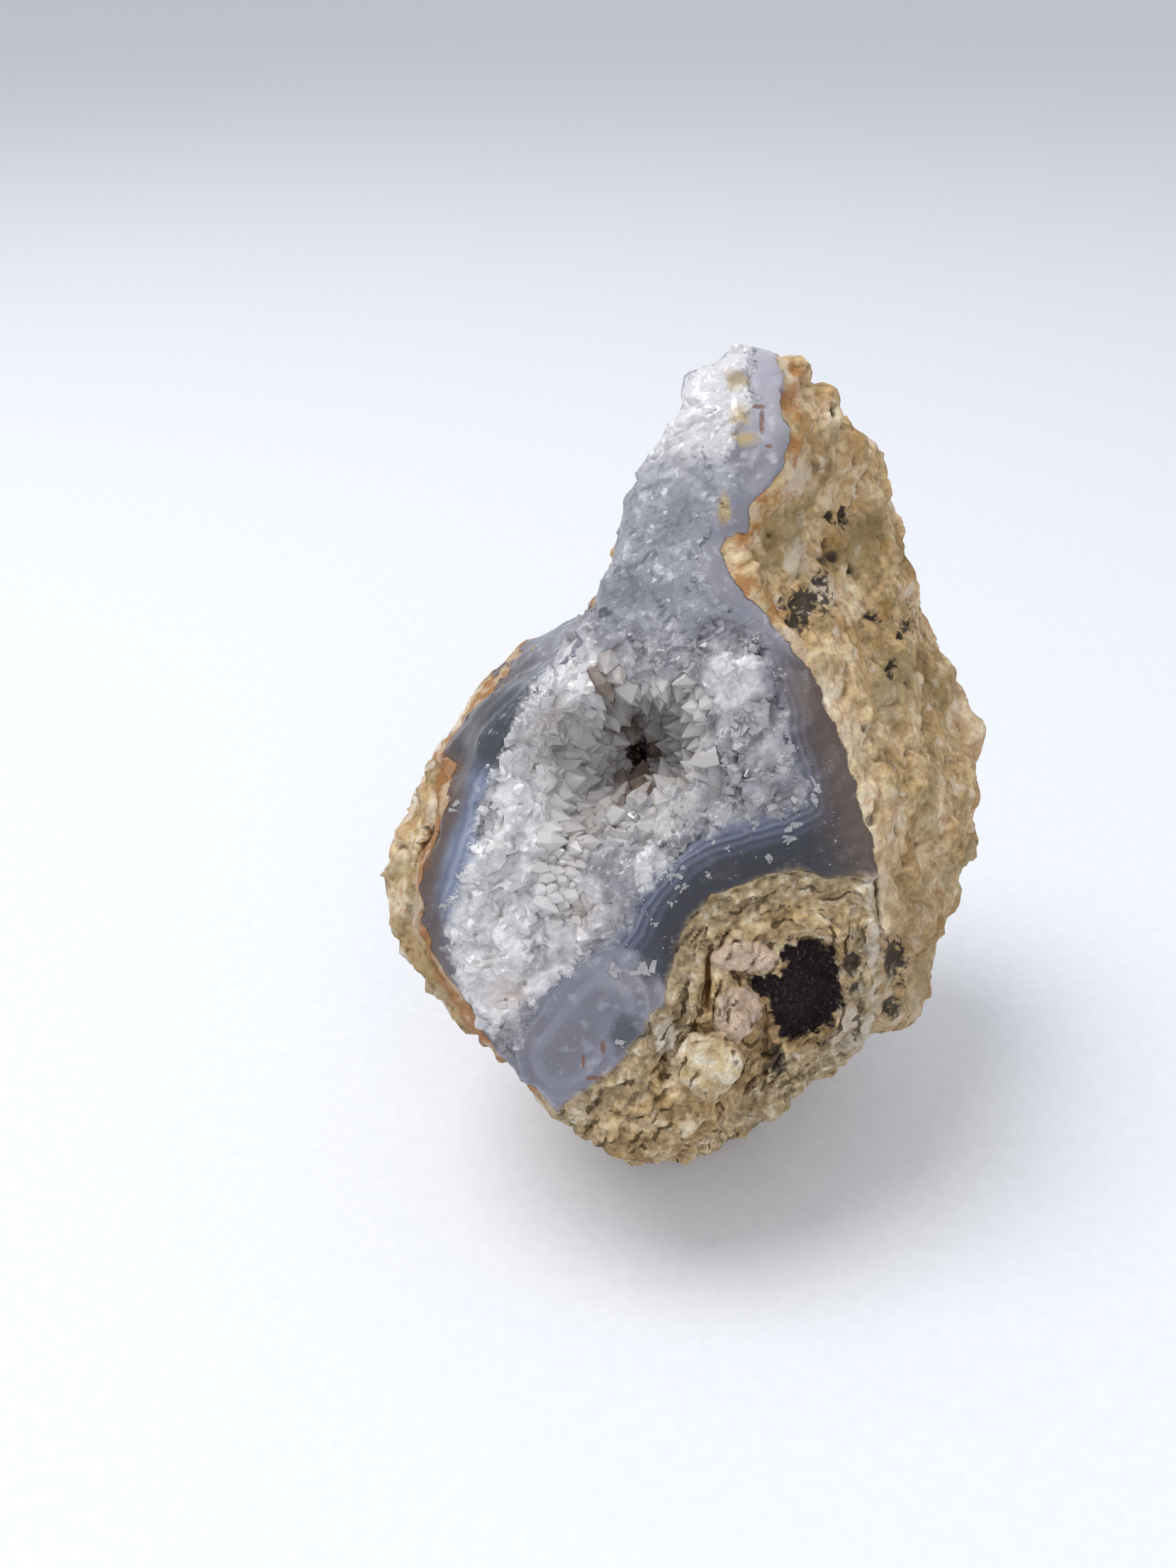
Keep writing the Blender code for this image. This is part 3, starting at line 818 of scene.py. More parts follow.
    def _lip_lift(self, kept: StoneFields) -> np.ndarray:
        """How far the hollow's upper, right and lower walls come forward, up to their sharp lip.

        Args:
            kept: the stone's measures.

        Returns:
            How far each vertex comes forward, in millimetres.
        """
        right, up = kept.flat[:, 0], kept.flat[:, 1]
        lower = smooth_step(-1.0, -3.0, up) * smooth_step(-3.5, -0.5, right)
        sides = np.maximum(smooth_step(3.5, 6.0, up), smooth_step(3.5, 5.5, right))
        walls = np.maximum(sides, lower)
        outside = smooth_step(0.35, -0.45, kept.opening)
        return self.lip_reach * kept.hollow_depth * walls * outside * kept.in_hollow

    def _quartz_relief(self, kept: StoneFields) -> np.ndarray:
        """Broad broken facets of the quartz, lower on the neck.

        Args:
            kept: the stone's measures.

        Returns:
            The height of each vertex in millimetres.
        """
        relief = stacked(self.quartz_layers, kept.points)
        relief *= 1 - 0.55 * smooth_step(9.0, 14.0, kept.seen[:, 1])
        share = smooth_step(-0.3, 0.5, kept.quartz) * kept.front
        return (relief + 0.12) * share * smooth_step(0.3, 1.2, kept.rind)

    def _agate_relief(self, kept: StoneFields) -> np.ndarray:
        """Slow waves of the smooth broken agate."""
        smooth = smooth_step(0.2, 1.5, kept.rind) * (1 - smooth_step(-0.5, 0.5, kept.quartz))
        return stacked(self.agate_layers, kept.points) * smooth * kept.front

    def _matrix_relief(self, kept: StoneFields) -> np.ndarray:
        """Ledges, blocks, creases and the knob of the lower matrix.

        Args:
            kept: the stone's measures.

        Returns:
            The height of each vertex in millimetres.
        """
        points = kept.points
        step = ((kept.matrix + 0.6 * swell(points, 3.5, 41)) / self.ledge_width) % 1.0
        ledged = smooth_step(-0.3, 0.4, swell(points, 5.0, 45)) * smooth_step(7.0, 4.0, kept.matrix)
        ledges = smooth_step(0.0, 0.7, step) - smooth_step(0.88, 1.0, step) - 0.3
        lumpy = smooth_step(1.5, 4.5, kept.matrix)
        relief = self.ledge_height * ledged * ledges + self.matrix_grain.over(points)
        relief += (0.3 + 0.7 * lumpy) * self.matrix_blocks.over(points)
        relief += (0.4 + 0.6 * lumpy) * self.matrix_lumps.over(points)
        for zone, width, height in self.matrix_patches:
            relief += height * smooth_step(0.0, width, kept.patches[zone])
        relief -= self.crease_depth * smooth_step(0.0, 0.8, patched(kept.seen, self.creases))
        clast = smooth_step(-0.2, 0.2, kept.clast)
        sunk = stacked(self.clast_layers, points) - 0.35
        relief = relief * (1 - clast) + sunk * clast
        knob = smooth_step(3.4, 1.6, kept.knob + 0.4 * swell(points, 2.5, 44))
        raised = relief * (1 - 0.4 * knob) + knob * self.knob_height
        return raised * smooth_step(0.0, 0.8, kept.matrix)

    def _rind_relief(self, kept: StoneFields) -> np.ndarray:
        """Lumps, knobs, pits and layers of the weathered rind.

        Args:
            kept: the stone's measures.

        Returns:
            The height of each vertex in millimetres.
        """
        points = kept.points
        drift = np.stack([swell(points, 3.0, salt) for salt in (56, 57, 58)], axis=1)
        warped = points + 0.9 * drift
        lumpy = smooth_step(-1.2, 0.6, swell(points, 5.0, 59))
        relief = self.rind_knobs.over(warped) + lumpy * self.rind_lumps.over(warped)
        relief += stacked(self.rind_layers, points)
        pits = cell_pattern(warped, self.pit_spacing, 54)
        hole = 1 - smooth_step(0.3, 0.9, pits.near / (0.55 + 0.9 * pits.chance[:, 1]))
        self.pit = hole * (pits.chance[:, 0] < self.pitted)
        relief -= self.pit_depth * self.pit
        for zone, width, height in self.rind_patches:
            relief += height * smooth_step(0.0, width, kept.patches[zone])
        rim = np.minimum(smooth_step(0.0, -0.4, kept.skin), smooth_step(-1.6, -0.8, kept.skin))
        rim = rim * kept.in_sight
        relief = (relief + 0.3 * rim) * (1 - 0.6 * rim)
        layer = ((-kept.flat[:, 2] + 1.2 * swell(points, 9.0, 14)) / self.layer_width) % 1.0
        layers = self.layer_height * (smooth_step(0.0, 0.7, layer) - smooth_step(0.8, 1.0, layer))
        share = smooth_step(-0.1, 0.6, -kept.rind) * (1 - smooth_step(0.0, 0.8, kept.matrix))
        return (relief * (1 - 0.6 * kept.left) + layers * kept.left) * share

    def _keep_measures(self) -> None:
        """Stores the zones on the mesh for the material to read."""
        kept = self.fields
        # the depth of each dip below its neighbours, kept for the painted shade in creases and dips
        local = self.relief - self._blurred(self.relief, self.cavity_rounds)
        values = {
            Zone.RIND: kept.rind, Zone.SKIN: kept.skin, Zone.MATRIX: kept.matrix,
            Zone.QUARTZ: kept.quartz, Zone.LACE: kept.lace, Zone.EYE: kept.eye,
            Zone.CLAST: kept.clast, Zone.KNOB: kept.knob, Zone.HOLLOW: kept.hollow_depth,
            Zone.CAVITY: -local, Zone.PIT: self.pit, Zone.MILK: kept.milk, Zone.LEFT: kept.left,
            Zone.WEST: kept.west, Zone.UP: kept.seen[:, 1], **kept.patches,
        }
        for zone, numbers in values.items():
            keep_measure(self.made, zone, numbers)

    def _blurred(self, values: np.ndarray, rounds: int) -> np.ndarray:
        """Evens out numbers between neighbouring vertices.

        Args:
            values: one number a vertex.
            rounds: how often neighbours are averaged.

        Returns:
            The evened numbers.
        """
        mesh = self.made.data
        ends = np.empty(len(mesh.edges) * 2, int)
        mesh.edges.foreach_get("vertices", ends)
        first, last = ends.reshape(-1, 2).T
        count = np.bincount(first, minlength=len(values)) + np.bincount(last, minlength=len(values))
        for _ in range(rounds):
            total = np.bincount(first, values[last], len(values))
            total += np.bincount(last, values[first], len(values))
            values = 0.5 * values + 0.5 * total / np.maximum(count, 1)
        return values

    def _shade(self) -> None:
        """Flat facets on the quartz and smooth shading elsewhere, and the stone's material."""
        mesh = self.made.data
        quartz = self.fields.quartz
        smooth = [bool(quartz[face.vertices[0]] < 0) for face in mesh.polygons]
        mesh.polygons.foreach_set("use_smooth", smooth)
        mesh.materials.clear()
        mesh.materials.append(StoneFinish().make())


@dataclass(frozen=True)
class Coat:
    """Colour, roughness and height in millimetres of one layer of a material."""

    colour: object
    roughness: object
    height: object


class Recipe:
    """Builds one material, from layered coats."""

    def __init__(self, name: str) -> None:
        """Starts an empty material.

        Args:
            name: the material's name.
        """
        self.material = bpy.data.materials.new(name)
        self.material.use_nodes = True
        self.tree = self.material.node_tree
        self.tree.nodes.clear()
        place = self.node(Kind.PLACE, {}, "Object")
        self.place = self.node(Kind.TURN, {"Vector": place, "Scale": (1 / MM, 1 / MM, 1 / MM)})
        self.noises: dict[tuple[float, float], bpy.types.NodeSocket] = {}

    def node(
        self, kind: Kind, inputs: dict, output: int | str = 0, stops: Stops = (), **settings: object
    ) -> bpy.types.NodeSocket:
        """Adds a node with its settings and links.

        Args:
            kind: the node's kind.
            inputs: by input name or number, a value, a hex colour or a socket to link.
            output: name or number of the output that is wanted.
            stops: places and colours of a ramp.
            settings: the node's own values.

        Returns:
            The output socket, or the first one where the node has none of that name.
        """
        made = self.tree.nodes.new(kind.value)
        for name, value in settings.items():
            setattr(made, name, value)
        for name, value in inputs.items():
            if isinstance(value, bpy.types.NodeSocket):
                self.tree.links.new(value, made.inputs[name])
            else:
                made.inputs[name].default_value = linear(value) if isinstance(value, str) else value
        for number, (place, colour) in enumerate(stops):
            elements = made.color_ramp.elements
            element = elements[number] if number < len(elements) else elements.new(place)
            element.position = place
            element.color = linear(colour)
        return made.outputs[output] if made.outputs else None

    def cloud(
        self, size: float, stops: Stops, detail: float = 4, warp: float = 0
    ) -> bpy.types.NodeSocket:
        """Cloudy colours with features of a size in millimetres.

        Args:
            size: size of the features in millimetres.
            stops: places and colours of the ramp.
            detail: how many finer layers the noise has.
            warp: how far the noise is bent.

        Returns:
            The clouds' colour.
        """
        inputs = {"Vector": self.place, "Scale": 1 / size, "Detail": detail, "Distortion": warp}
        noise = self.node(Kind.NOISE, inputs)
        return self.node(Kind.RAMP, {"Fac": noise}, stops=stops)

    def noise(self, size: float, detail: float) -> bpy.types.NodeSocket:
        """Noise with features of a size in millimetres, made once and then shared.

        Args:
            size: size of the features in millimetres.
            detail: how many finer layers the noise has.

        Returns:
            The noise.
        """
        if (size, detail) not in self.noises:
            inputs = {"Vector": self.place, "Scale": 1 / size, "Detail": detail}
            self.noises[size, detail] = self.node(Kind.NOISE, inputs)
        return self.noises[size, detail]

    def wandered(self, zone: Zone, wander: float, size: float) -> bpy.types.NodeSocket:
        """A stored measure that wanders by so many millimetres with noise of a size.

        Args:
            zone: the stored measure.
            wander: how far it wanders, in millimetres.
            size: size of the features in millimetres.

        Returns:
            The measure.
        """
        measure = self.node(Kind.MEASURE, {}, "Fac", attribute_name=zone.value)
        noise = self.noise(size, 4)
        centred = self.node(Kind.MATH, {0: noise, 1: 0.5}, operation="SUBTRACT")
        inputs = {0: centred, 1: 2 * wander, 2: measure}
        return self.node(Kind.MATH, inputs, operation="MULTIPLY_ADD")

    def meeting(self, share: object, *others: object) -> bpy.types.NodeSocket:
        """The share where all the given shares meet.

        Args:
            share: the first share.
            others: the further shares.

        Returns:
            Their product.
        """
        for other in others:
            share = self.node(Kind.MATH, {0: share, 1: other}, operation="MULTIPLY")
        return share

    def beyond(self, share: object, *others: object) -> bpy.types.NodeSocket:
        """What is left of the whole outside the given shares.

        Args:
            share: the first share.
            others: the further shares.

        Returns:
            What is left.
        """
        left = 1.0
        for taken in (share, *others):
            left = self.node(Kind.MATH, {0: left, 1: taken}, operation="SUBTRACT", use_clamp=True)
        return left

    def wash(
        self, colour: object, tone: object, share: object, strength: float = 1.0
    ) -> bpy.types.NodeSocket:
        """Lays a tone over a colour where a share says, at a strength."""
        amount = self.node(Kind.MATH, {0: share, 1: strength}, operation="MULTIPLY")
        return self.node(Kind.MIX, {0: amount, 6: colour, 7: tone}, 2, data_type="RGBA")

    def overlaid(self, colour: object, tone: object, strength: float) -> bpy.types.NodeSocket:
        """Lightens and darkens a colour with a tone, at a strength."""
        inputs = {0: strength, 6: colour, 7: tone}
        return self.node(Kind.MIX, inputs, 2, data_type="RGBA", blend_type="OVERLAY")

    def grained(self, colour: object, size: float, strength: float) -> bpy.types.NodeSocket:
        """Lightens and darkens a colour with fine grain."""
        grain = self.cloud(size, ((0.3, "#5E5E5E"), (0.5, "#BCBCBC"), (0.7, "#EDEDED")), 5, 0.2)
        return self.overlaid(colour, grain, strength)

    def facets(self, size: float, slope: float, base: object = 0.0) -> bpy.types.NodeSocket:
        """Height in millimetres of flat facets of a size, each tilted its own way, on a base.

        Args:
            size: size of the features in millimetres.
            slope: how steeply the facets tilt.
            base: the height that they stand on.

        Returns:
            The height.
        """
        middle = self.node(Kind.CELLS, {"Vector": self.place, "Scale": 1 / size}, "Position")
        chance = middle.node.outputs["Color"]
        away = self.node(Kind.VECTOR, {0: self.place, 1: middle}, operation="SUBTRACT")
        tilt = self.node(Kind.VECTOR, {0: chance, 1: (0.5, 0.5, 0.5)}, operation="SUBTRACT")
        rise = self.node(Kind.VECTOR, {0: away, 1: tilt}, "Value", operation="DOT_PRODUCT")
        return self.node(Kind.MATH, {0: rise, 1: 2 * slope, 2: base}, operation="MULTIPLY_ADD")

    def rough_height(
        self, coarse: float, coarse_high: float, fine: float, fine_high: float
    ) -> bpy.types.NodeSocket:
        """Height in millimetres of a coarse and a fine roughness, each with its size and height.

        Args:
            coarse: size of the coarse roughness.
            coarse_high: its height.
            fine: size of the fine roughness.
            fine_high: its height.

        Returns:
            The height.
        """
        first = self.noise(coarse, 4)
        second = self.noise(fine, 3)
        low = self.node(Kind.MATH, {0: first, 1: coarse_high}, operation="MULTIPLY")
        return self.node(Kind.MATH, {0: second, 1: fine_high, 2: low}, operation="MULTIPLY_ADD")

    def over(self, lower: Coat, upper: Coat, share: object) -> Coat:
        """Lays one coat over another.

        Args:
            lower: the coat below.
            upper: the coat on top.
            share: where the top coat covers.

        Returns:
            The mixed coat.
        """
        colours = {0: share, 6: lower.colour, 7: upper.colour}
        rough = {0: share, 2: lower.roughness, 3: upper.roughness}
        high = {0: share, 2: lower.height, 3: upper.height}
        return Coat(
            self.node(Kind.MIX, colours, 2, data_type="RGBA"),
            self.node(Kind.MIX, rough, data_type="FLOAT"),
            self.node(Kind.MIX, high, data_type="FLOAT"),
        )

    def finish(self, coat: Coat, **values: object) -> bpy.types.Material:
        """Ends the material with its shader.

        Args:
            coat: the mixed coats.
            values: other values of the shader, by socket name with _ for a space.

        Returns:
            The material.
        """
        normal = self.node(Kind.BUMP, {"Distance": MM, "Height": coat.height})
        inputs = {"Base Color": coat.colour, "Roughness": coat.roughness, "Normal": normal}
        inputs.update({name.replace("_", " "): value for name, value in values.items()})
        self.node(Kind.OUTPUT, {"Surface": self.node(Kind.SHADER, inputs)})
        return self.material


@dataclass(frozen=True)
class Edge:
    """A share that goes from 0 to 1 as a zone's measure goes from low to high.

    The edge wanders by some millimetres, with noise of a size in millimetres.
    """

    zone: Zone
    low: float
    high: float
    wander: float = 0.5
    size: float = 0.8

    def share(self, mix: Recipe) -> bpy.types.NodeSocket:
        """Adds the share to a material.

        Args:
            mix: the material that is made.

        Returns:
            The share.
        """
        value = mix.wandered(self.zone, self.wander, self.size)
        span = {"Value": value, "From Min": self.low, "From Max": self.high}
        return mix.node(Kind.SPAN, span, interpolation_type="SMOOTHSTEP")


@dataclass(frozen=True)
class Scatter:
    """A share of scattered patches of a size in millimetres, where noise goes from low to high."""

    size: float
    low: float
    high: float
    detail: float = 3

    def share(self, mix: Recipe) -> bpy.types.NodeSocket:
        """Adds the share to a material.

        Args:
            mix: the material that is made.

        Returns:
            The share.
        """
        noise = mix.noise(self.size, self.detail)
        span = {"Value": noise, "From Min": self.low, "From Max": self.high}
        return mix.node(Kind.SPAN, span, interpolation_type="SMOOTHSTEP")


@dataclass(frozen=True)
class Tone:
    """A colour that is laid at a strength where all its shares meet."""

    colour: str
    strength: float
    where: Edge | Scatter
    also: tuple[Edge | Scatter, ...] = ()

    def over(self, mix: Recipe, colour: object) -> bpy.types.NodeSocket:
        """Lays the tone over a colour of a material."""
        share = mix.meeting(*(part.share(mix) for part in (self.where, *self.also)))
        return mix.wash(colour, self.colour, share, self.strength)


def toned(mix: Recipe, colour: object, tones: Iterable[Tone]) -> bpy.types.NodeSocket:
    """Lays some tones over a colour, one after the other.

    Args:
        mix: the material that is made.
        colour: the colour below.
        tones: the tones in turn.

    Returns:
        The colour with the tones on it.
    """
    for tone in tones:
        colour = tone.over(mix, colour)
    return colour


@dataclass(frozen=True)
class StoneFinish:
    """Broken chalcedony, sugary quartz, clay-rich matrix and weathered rind in one material.

    Chalcedony breaks with a soft waxy gloss, quartz glitters like ice, and the rind and matrix are
    dull. The bands and rings are 0.2 to 0.7 mm wide, as on the stone.
    """

    ior: float = 1.54
    agate_roughness: float = 0.32
    quartz_roughness: tuple[float, float] = (0.14, 0.42)
    rind_roughness: float = 0.92
    matrix_roughness: float = 0.75
    clast_roughness: float = 0.7
    shine: float = 0.5
    dull_loss: float = 0.25
    clast_loss: float = 0.15
    rind_edge: Edge = Edge(Zone.RIND, 0.1, -0.1, 0.35, 0.6)
    matrix_edge: Edge = Edge(Zone.MATRIX, -0.5, 0.7, 0.5, 0.6)
    quartz_edge: Edge = Edge(Zone.QUARTZ, -0.5, 0.8, 0.9, 0.9)
    clast_edge: Edge = Edge(Zone.CLAST, -0.2, 0.25, 1.1, 0.9)

    band_reach: float = 8.0
    slate_bands: Stops = (
        (0.0, "#767B90"), (0.045, "#555A6C"), (0.08, "#7A8095"), (0.11, "#454957"),
        (0.16, "#656A7E"), (0.2, "#3D404D"), (0.25, "#4C5060"), (0.3, "#34353E"),
        (0.5, "#303138"), (1.0, "#36363D"),
    )
    blue_bands: Stops = (
        (0.0, "#9BA3B6"), (0.06, "#7C86A0"), (0.1, "#98A1B6"), (0.15, "#717B94"),
        (0.21, "#8992A6"), (0.29, "#706E76"), (0.37, "#6B5C55"), (1.0, "#5C4D47"),
    )
    west: Edge = Edge(Zone.WEST, 0.2, 0.8, 0.1)
    west_top: Edge = Edge(Zone.UP, -2.5, 0.5, 1.0, 2.0)
    neck: Edge = Edge(Zone.UP, 5.0, 11.0, 1.0, 3.0)
    peak: Tone = Tone("#C4C2C9", 0.85, Edge(Zone.UP, 24.0, 32.0, 1.0, 3.0))
    wide_brown: Edge = Edge(Zone.SKIN, 5.5, 1.5, 0.9, 3.0)
    narrow_brown: Edge = Edge(Zone.SKIN, 2.6, 0.7, 0.5, 2.0)
    crumbs: Scatter = Scatter(1.3, 0.53, 0.68, 6)
    eye_reach: float = 6.0
    eye_edge: Edge = Edge(Zone.EYE, 5.9, 5.4, 0.3, 1.5)
    eye_rings: Stops = (
        (0.0, "#6C6B75"), (0.3, "#706F7A"), (0.34, "#7A7984"), (0.44, "#7E7D88"),
        (0.5, "#6D6C77"), (0.6, "#71707B"), (0.64, "#807F8A"), (0.7, "#686772"),
        (0.79, "#70707B"), (0.85, "#7F7E89"), (1.0, "#7C7B86"),
    )
    eye_tones: tuple[Tone, ...] = (
        Tone("#767784", 0.7, Scatter(4.0, 0.45, 0.6)),
        Tone("#9C9CA8", 0.5, Scatter(1.6, 0.55, 0.68)),
    )
    agate_tones: tuple[Tone, ...] = (
        Tone("#3C3D47", 0.8, Edge(Zone.SLATE, -0.1, 0.5, 0.5, 1.2)),
        Tone("#B4B5BF", 0.4, Scatter(0.22, 0.66, 0.7, 2), (Scatter(3.0, 0.45, 0.6),)),
    )
    iron_stains: tuple[Tone, ...] = (
        Tone("#B79C5E", 0.7, Edge(Zone.YELLOW, -0.1, 0.7, 0.6, 0.7)),
        Tone("#6E4428", 0.8, Edge(Zone.RUST, -0.1, 0.5, 0.7, 0.5)),
    )

    quartz_tones: tuple[Tone, ...] = (
        Tone("#93959F", 0.6, Edge(Zone.UP, 8.0, 15.0, 1.5, 2.0)),
        Tone("#DCDADC", 0.85, Edge(Zone.UP, 20.5, 30.0, 2.5, 2.0)),
        Tone("#E9E8EA", 0.35, Scatter(0.9, 0.56, 0.7, 5)),
        Tone("#C2A79B", 0.4, Edge(Zone.PINK, -0.1, 0.7, 0.4, 1.0)),
        # painted light: the quartz is paler from 1 mm deep in the hollow, against the hollow's
        # shade
        Tone("#D2CCC6", 0.6, Edge(Zone.HOLLOW, 1.0, 3.5, 0.5, 1.2)),
        Tone("#6E5745", 0.8, Edge(Zone.BROWN, -0.3, 0.5, 0.5, 0.8)),
        # painted shade: the hollow's hole near black
        Tone("#1E120B", 1.0, Edge(Zone.HOLE, 0.0, 0.4, 0.3, 0.6)),
    )

    rind_clouds: Stops = (
        (0.28, "#8C7350"), (0.42, "#B0946A"), (0.52, "#C5AA82"), (0.62, "#D3BC9A"),
        (0.75, "#E4D5BE"),
    )
    rind_tones: tuple[Tone, ...] = (
        Tone("#A0763F", 0.45, Scatter(3.4, 0.52, 0.62)),
        Tone("#DCCDBC", 0.65, Scatter(1.9, 0.58, 0.68, 5)),
        Tone("#8A7D58", 0.5, Scatter(6.0, 0.52, 0.64)),
        # painted shade: the rind is darker towards its bottom
        Tone("#8A7350", 0.35, Edge(Zone.UP, -6.0, -16.0, 2.0, 3.0)),
        Tone("#E4D8CB", 0.75, Edge(Zone.LEFT, 0.1, 0.8, 0.3, 2.0), (Scatter(2.4, 0.36, 0.56, 5),)),
        # painted shade in the rind's creases
        Tone("#69512C", 0.7, Edge(Zone.CAVITY, 0.05, 0.55, 0.15, 0.9)),
        Tone("#D3C4B0", 0.65, Edge(Zone.WHITE, -0.2, 0.6, 0.8, 1.0)),
        Tone("#84501F", 0.6, Edge(Zone.RUST, -0.2, 0.5, 1.2, 0.8)),
        Tone("#9A6A42", 0.8, Edge(Zone.RIND, -2.4, -1.2, 0.8, 2.0), (
            Edge(Zone.WEST, 0.3, 0.9, 0.2),
        )),
        # painted shade in the pits
        Tone("#33302F", 0.75, Edge(Zone.PIT, 0.3, 0.9, 0.15, 0.6)),
        Tone("#2A2628", 0.9, Edge(Zone.DARK, -0.1, 0.5, 1.6, 0.6)),
        Tone("#CDBDA4", 0.6, Edge(Zone.SKIN, -1.3, -0.6, 0.6, 1.2), (Scatter(2.4, 0.42, 0.6),)),
        Tone("#A0682F", 0.75, Edge(Zone.SKIN, -3.0, -0.8, 0.9, 1.2), (
            Scatter(2.0, 0.47, 0.6, 5), Edge(Zone.UP, 8.0, 14.0, 1.0, 2.0),
        )),
    )

    glassy_matrix: Stops = (
        (0.28, "#7C694B"), (0.45, "#A08B69"), (0.58, "#B9A685"), (0.72, "#DDD4C4"),
    )
    blocky_matrix: Stops = (
        (0.28, "#80643F"), (0.43, "#A88B62"), (0.56, "#C2A880"), (0.7, "#DAC9AB"),
    )
    blocky_edge: Edge = Edge(Zone.MATRIX, 1.5, 4.0, 1.4, 2.0)
    pale_tones: tuple[Tone, ...] = (
        Tone("#D2C7BA", 0.7, Edge(Zone.SKIN, 1.5, 0.5, 0.5, 1.5), (
            Scatter(1.6, 0.4, 0.55), Edge(Zone.UP, -27.0, -23.0, 1.0, 2.0),
        )),
        Tone("#CFB8A6", 0.75, Edge(Zone.CREAM, -0.05, 0.1, 0.4, 0.8)),
        Tone("#CBC1B4", 0.75, Edge(Zone.WHITE, -0.1, 0.5, 0.8, 0.7)),
    )
    knob_clouds: Stops = ((0.32, "#B0966A"), (0.5, "#CFBD9A"), (0.68, "#EAE2D2"))
    knob_edge: Edge = Edge(Zone.KNOB, 3.5, 1.9, 1.5, 1.6)
    crust_and_cavity_shade_tones: tuple[Tone, ...] = (
        Tone("#DDD5CA", 0.5, Scatter(0.8, 0.62, 0.7, 5)),
        # painted shade in the dips of the matrix's relief
        Tone("#503B20", 0.8, Edge(Zone.CAVITY, 0.02, 0.4, 0.12, 0.6)),
    )
    crevice_spacing: float = 0.75
    crevice_width: tuple[float, float] = (0.2, 0.06)
    crevice_depth: float = 0.4
    dark_tones: tuple[Tone, ...] = (
        Tone("#6A4617", 0.9, Edge(Zone.RUST, -0.2, 0.4, 0.6, 0.5)),
        Tone("#2C2423", 0.85, Edge(Zone.DARK, -0.1, 0.4, 0.9, 0.6)),
    )

    def make(self) -> bpy.types.Material:
        """Makes the material.

        Returns:
            The material.
        """
        mix = Recipe("blue_lace_chalcedony_and_rind")
        rind, matrix = self.rind_edge.share(mix), self.matrix_edge.share(mix)
        clast = self.clast_edge.share(mix)
        coat = mix.over(self._agate(mix), self._quartz(mix), self.quartz_edge.share(mix))
        coat = mix.over(coat, self._rind(mix), rind)
        coat = mix.over(coat, self._matrix(mix), matrix)
        coat = mix.over(coat, self._clast(mix), clast)
        dull = mix.node(Kind.MATH, {0: rind, 1: matrix}, operation="MAXIMUM")
        shine = self.shine
        for share, loss in ((dull, self.dull_loss), (clast, self.clast_loss)):
            shine = mix.node(Kind.MATH, {0: share, 1: -loss, 2: shine}, operation="MULTIPLY_ADD")
        return mix.finish(coat, IOR=self.ior, Specular_IOR_Level=shine)

    def _agate(self, mix: Recipe) -> Coat:
        """Blue-grey chalcedony: bands, the pale neck, brown next to the rind, and the round eye.

        Args:
            mix: the material that is made.

        Returns:
            The agate's coat.
        """
        west = self.west.share(mix)
        neck = self.neck.share(mix)
        colour = mix.wash(self._bands(mix, west), "#92919A", neck, 0.9)
        colour = self.peak.over(mix, colour)
        wide = mix.meeting(self.wide_brown.share(mix), mix.beyond(west, neck))
        colour = mix.wash(colour, "#5C4C44", wide, 0.75)
        narrow = mix.meeting(self.narrow_brown.share(mix), mix.beyond(neck))
        colour = mix.wash(colour, "#604F46", narrow, 0.85)
        crumbs = mix.meeting(self.crumbs.share(mix), neck)
        colour = mix.wash(colour, "#CFCED6", crumbs, 0.55)
        cloudy = mix.cloud(2.4, ((0.3, "#646469"), (0.7, "#A4A4AA")), 4, 0.6)
        colour = mix.overlaid(colour, cloudy, 0.35)
        colour = mix.wash(colour, self._eye(mix), self.eye_edge.share(mix))
        colour = toned(mix, colour, (*self.agate_tones, *self.iron_stains))
        return Coat(colour, self.agate_roughness, mix.rough_height(1.2, 0.06, 0.4, 0.03))

    def _bands(self, mix: Recipe, west: object) -> bpy.types.NodeSocket:
        """Bands next to the quartz: slate on the right, blue on the left, near black at its top.

        Args:
            mix: the material that is made.
            west: the share of the left side.

        Returns:
            The bands' colour.
        """
        span = {"Value": mix.wandered(Zone.LACE, 0.35, 2.4), "From Max": self.band_reach}
        place = {"Fac": mix.node(Kind.SPAN, span)}
        slate, blue = (
            mix.node(Kind.RAMP, place, stops=stops) for stops in (self.slate_bands, self.blue_bands)
        )
        top = mix.meeting(west, self.west_top.share(mix))
        return mix.wash(mix.wash(slate, blue, west), "#404046", top, 0.9)

    def _eye(self, mix: Recipe) -> bpy.types.NodeSocket:
        """The rings of the round eye, broken by paler and plainer patches.

        Args:
            mix: the material that is made.

        Returns:
            The rings' colour.
        """
        span = {"Value": mix.wandered(Zone.EYE, 0.5, 2.6), "From Max": self.eye_reach}
        rings = mix.node(Kind.RAMP, {"Fac": mix.node(Kind.SPAN, span)}, stops=self.eye_rings)
        return toned(mix, rings, self.eye_tones)

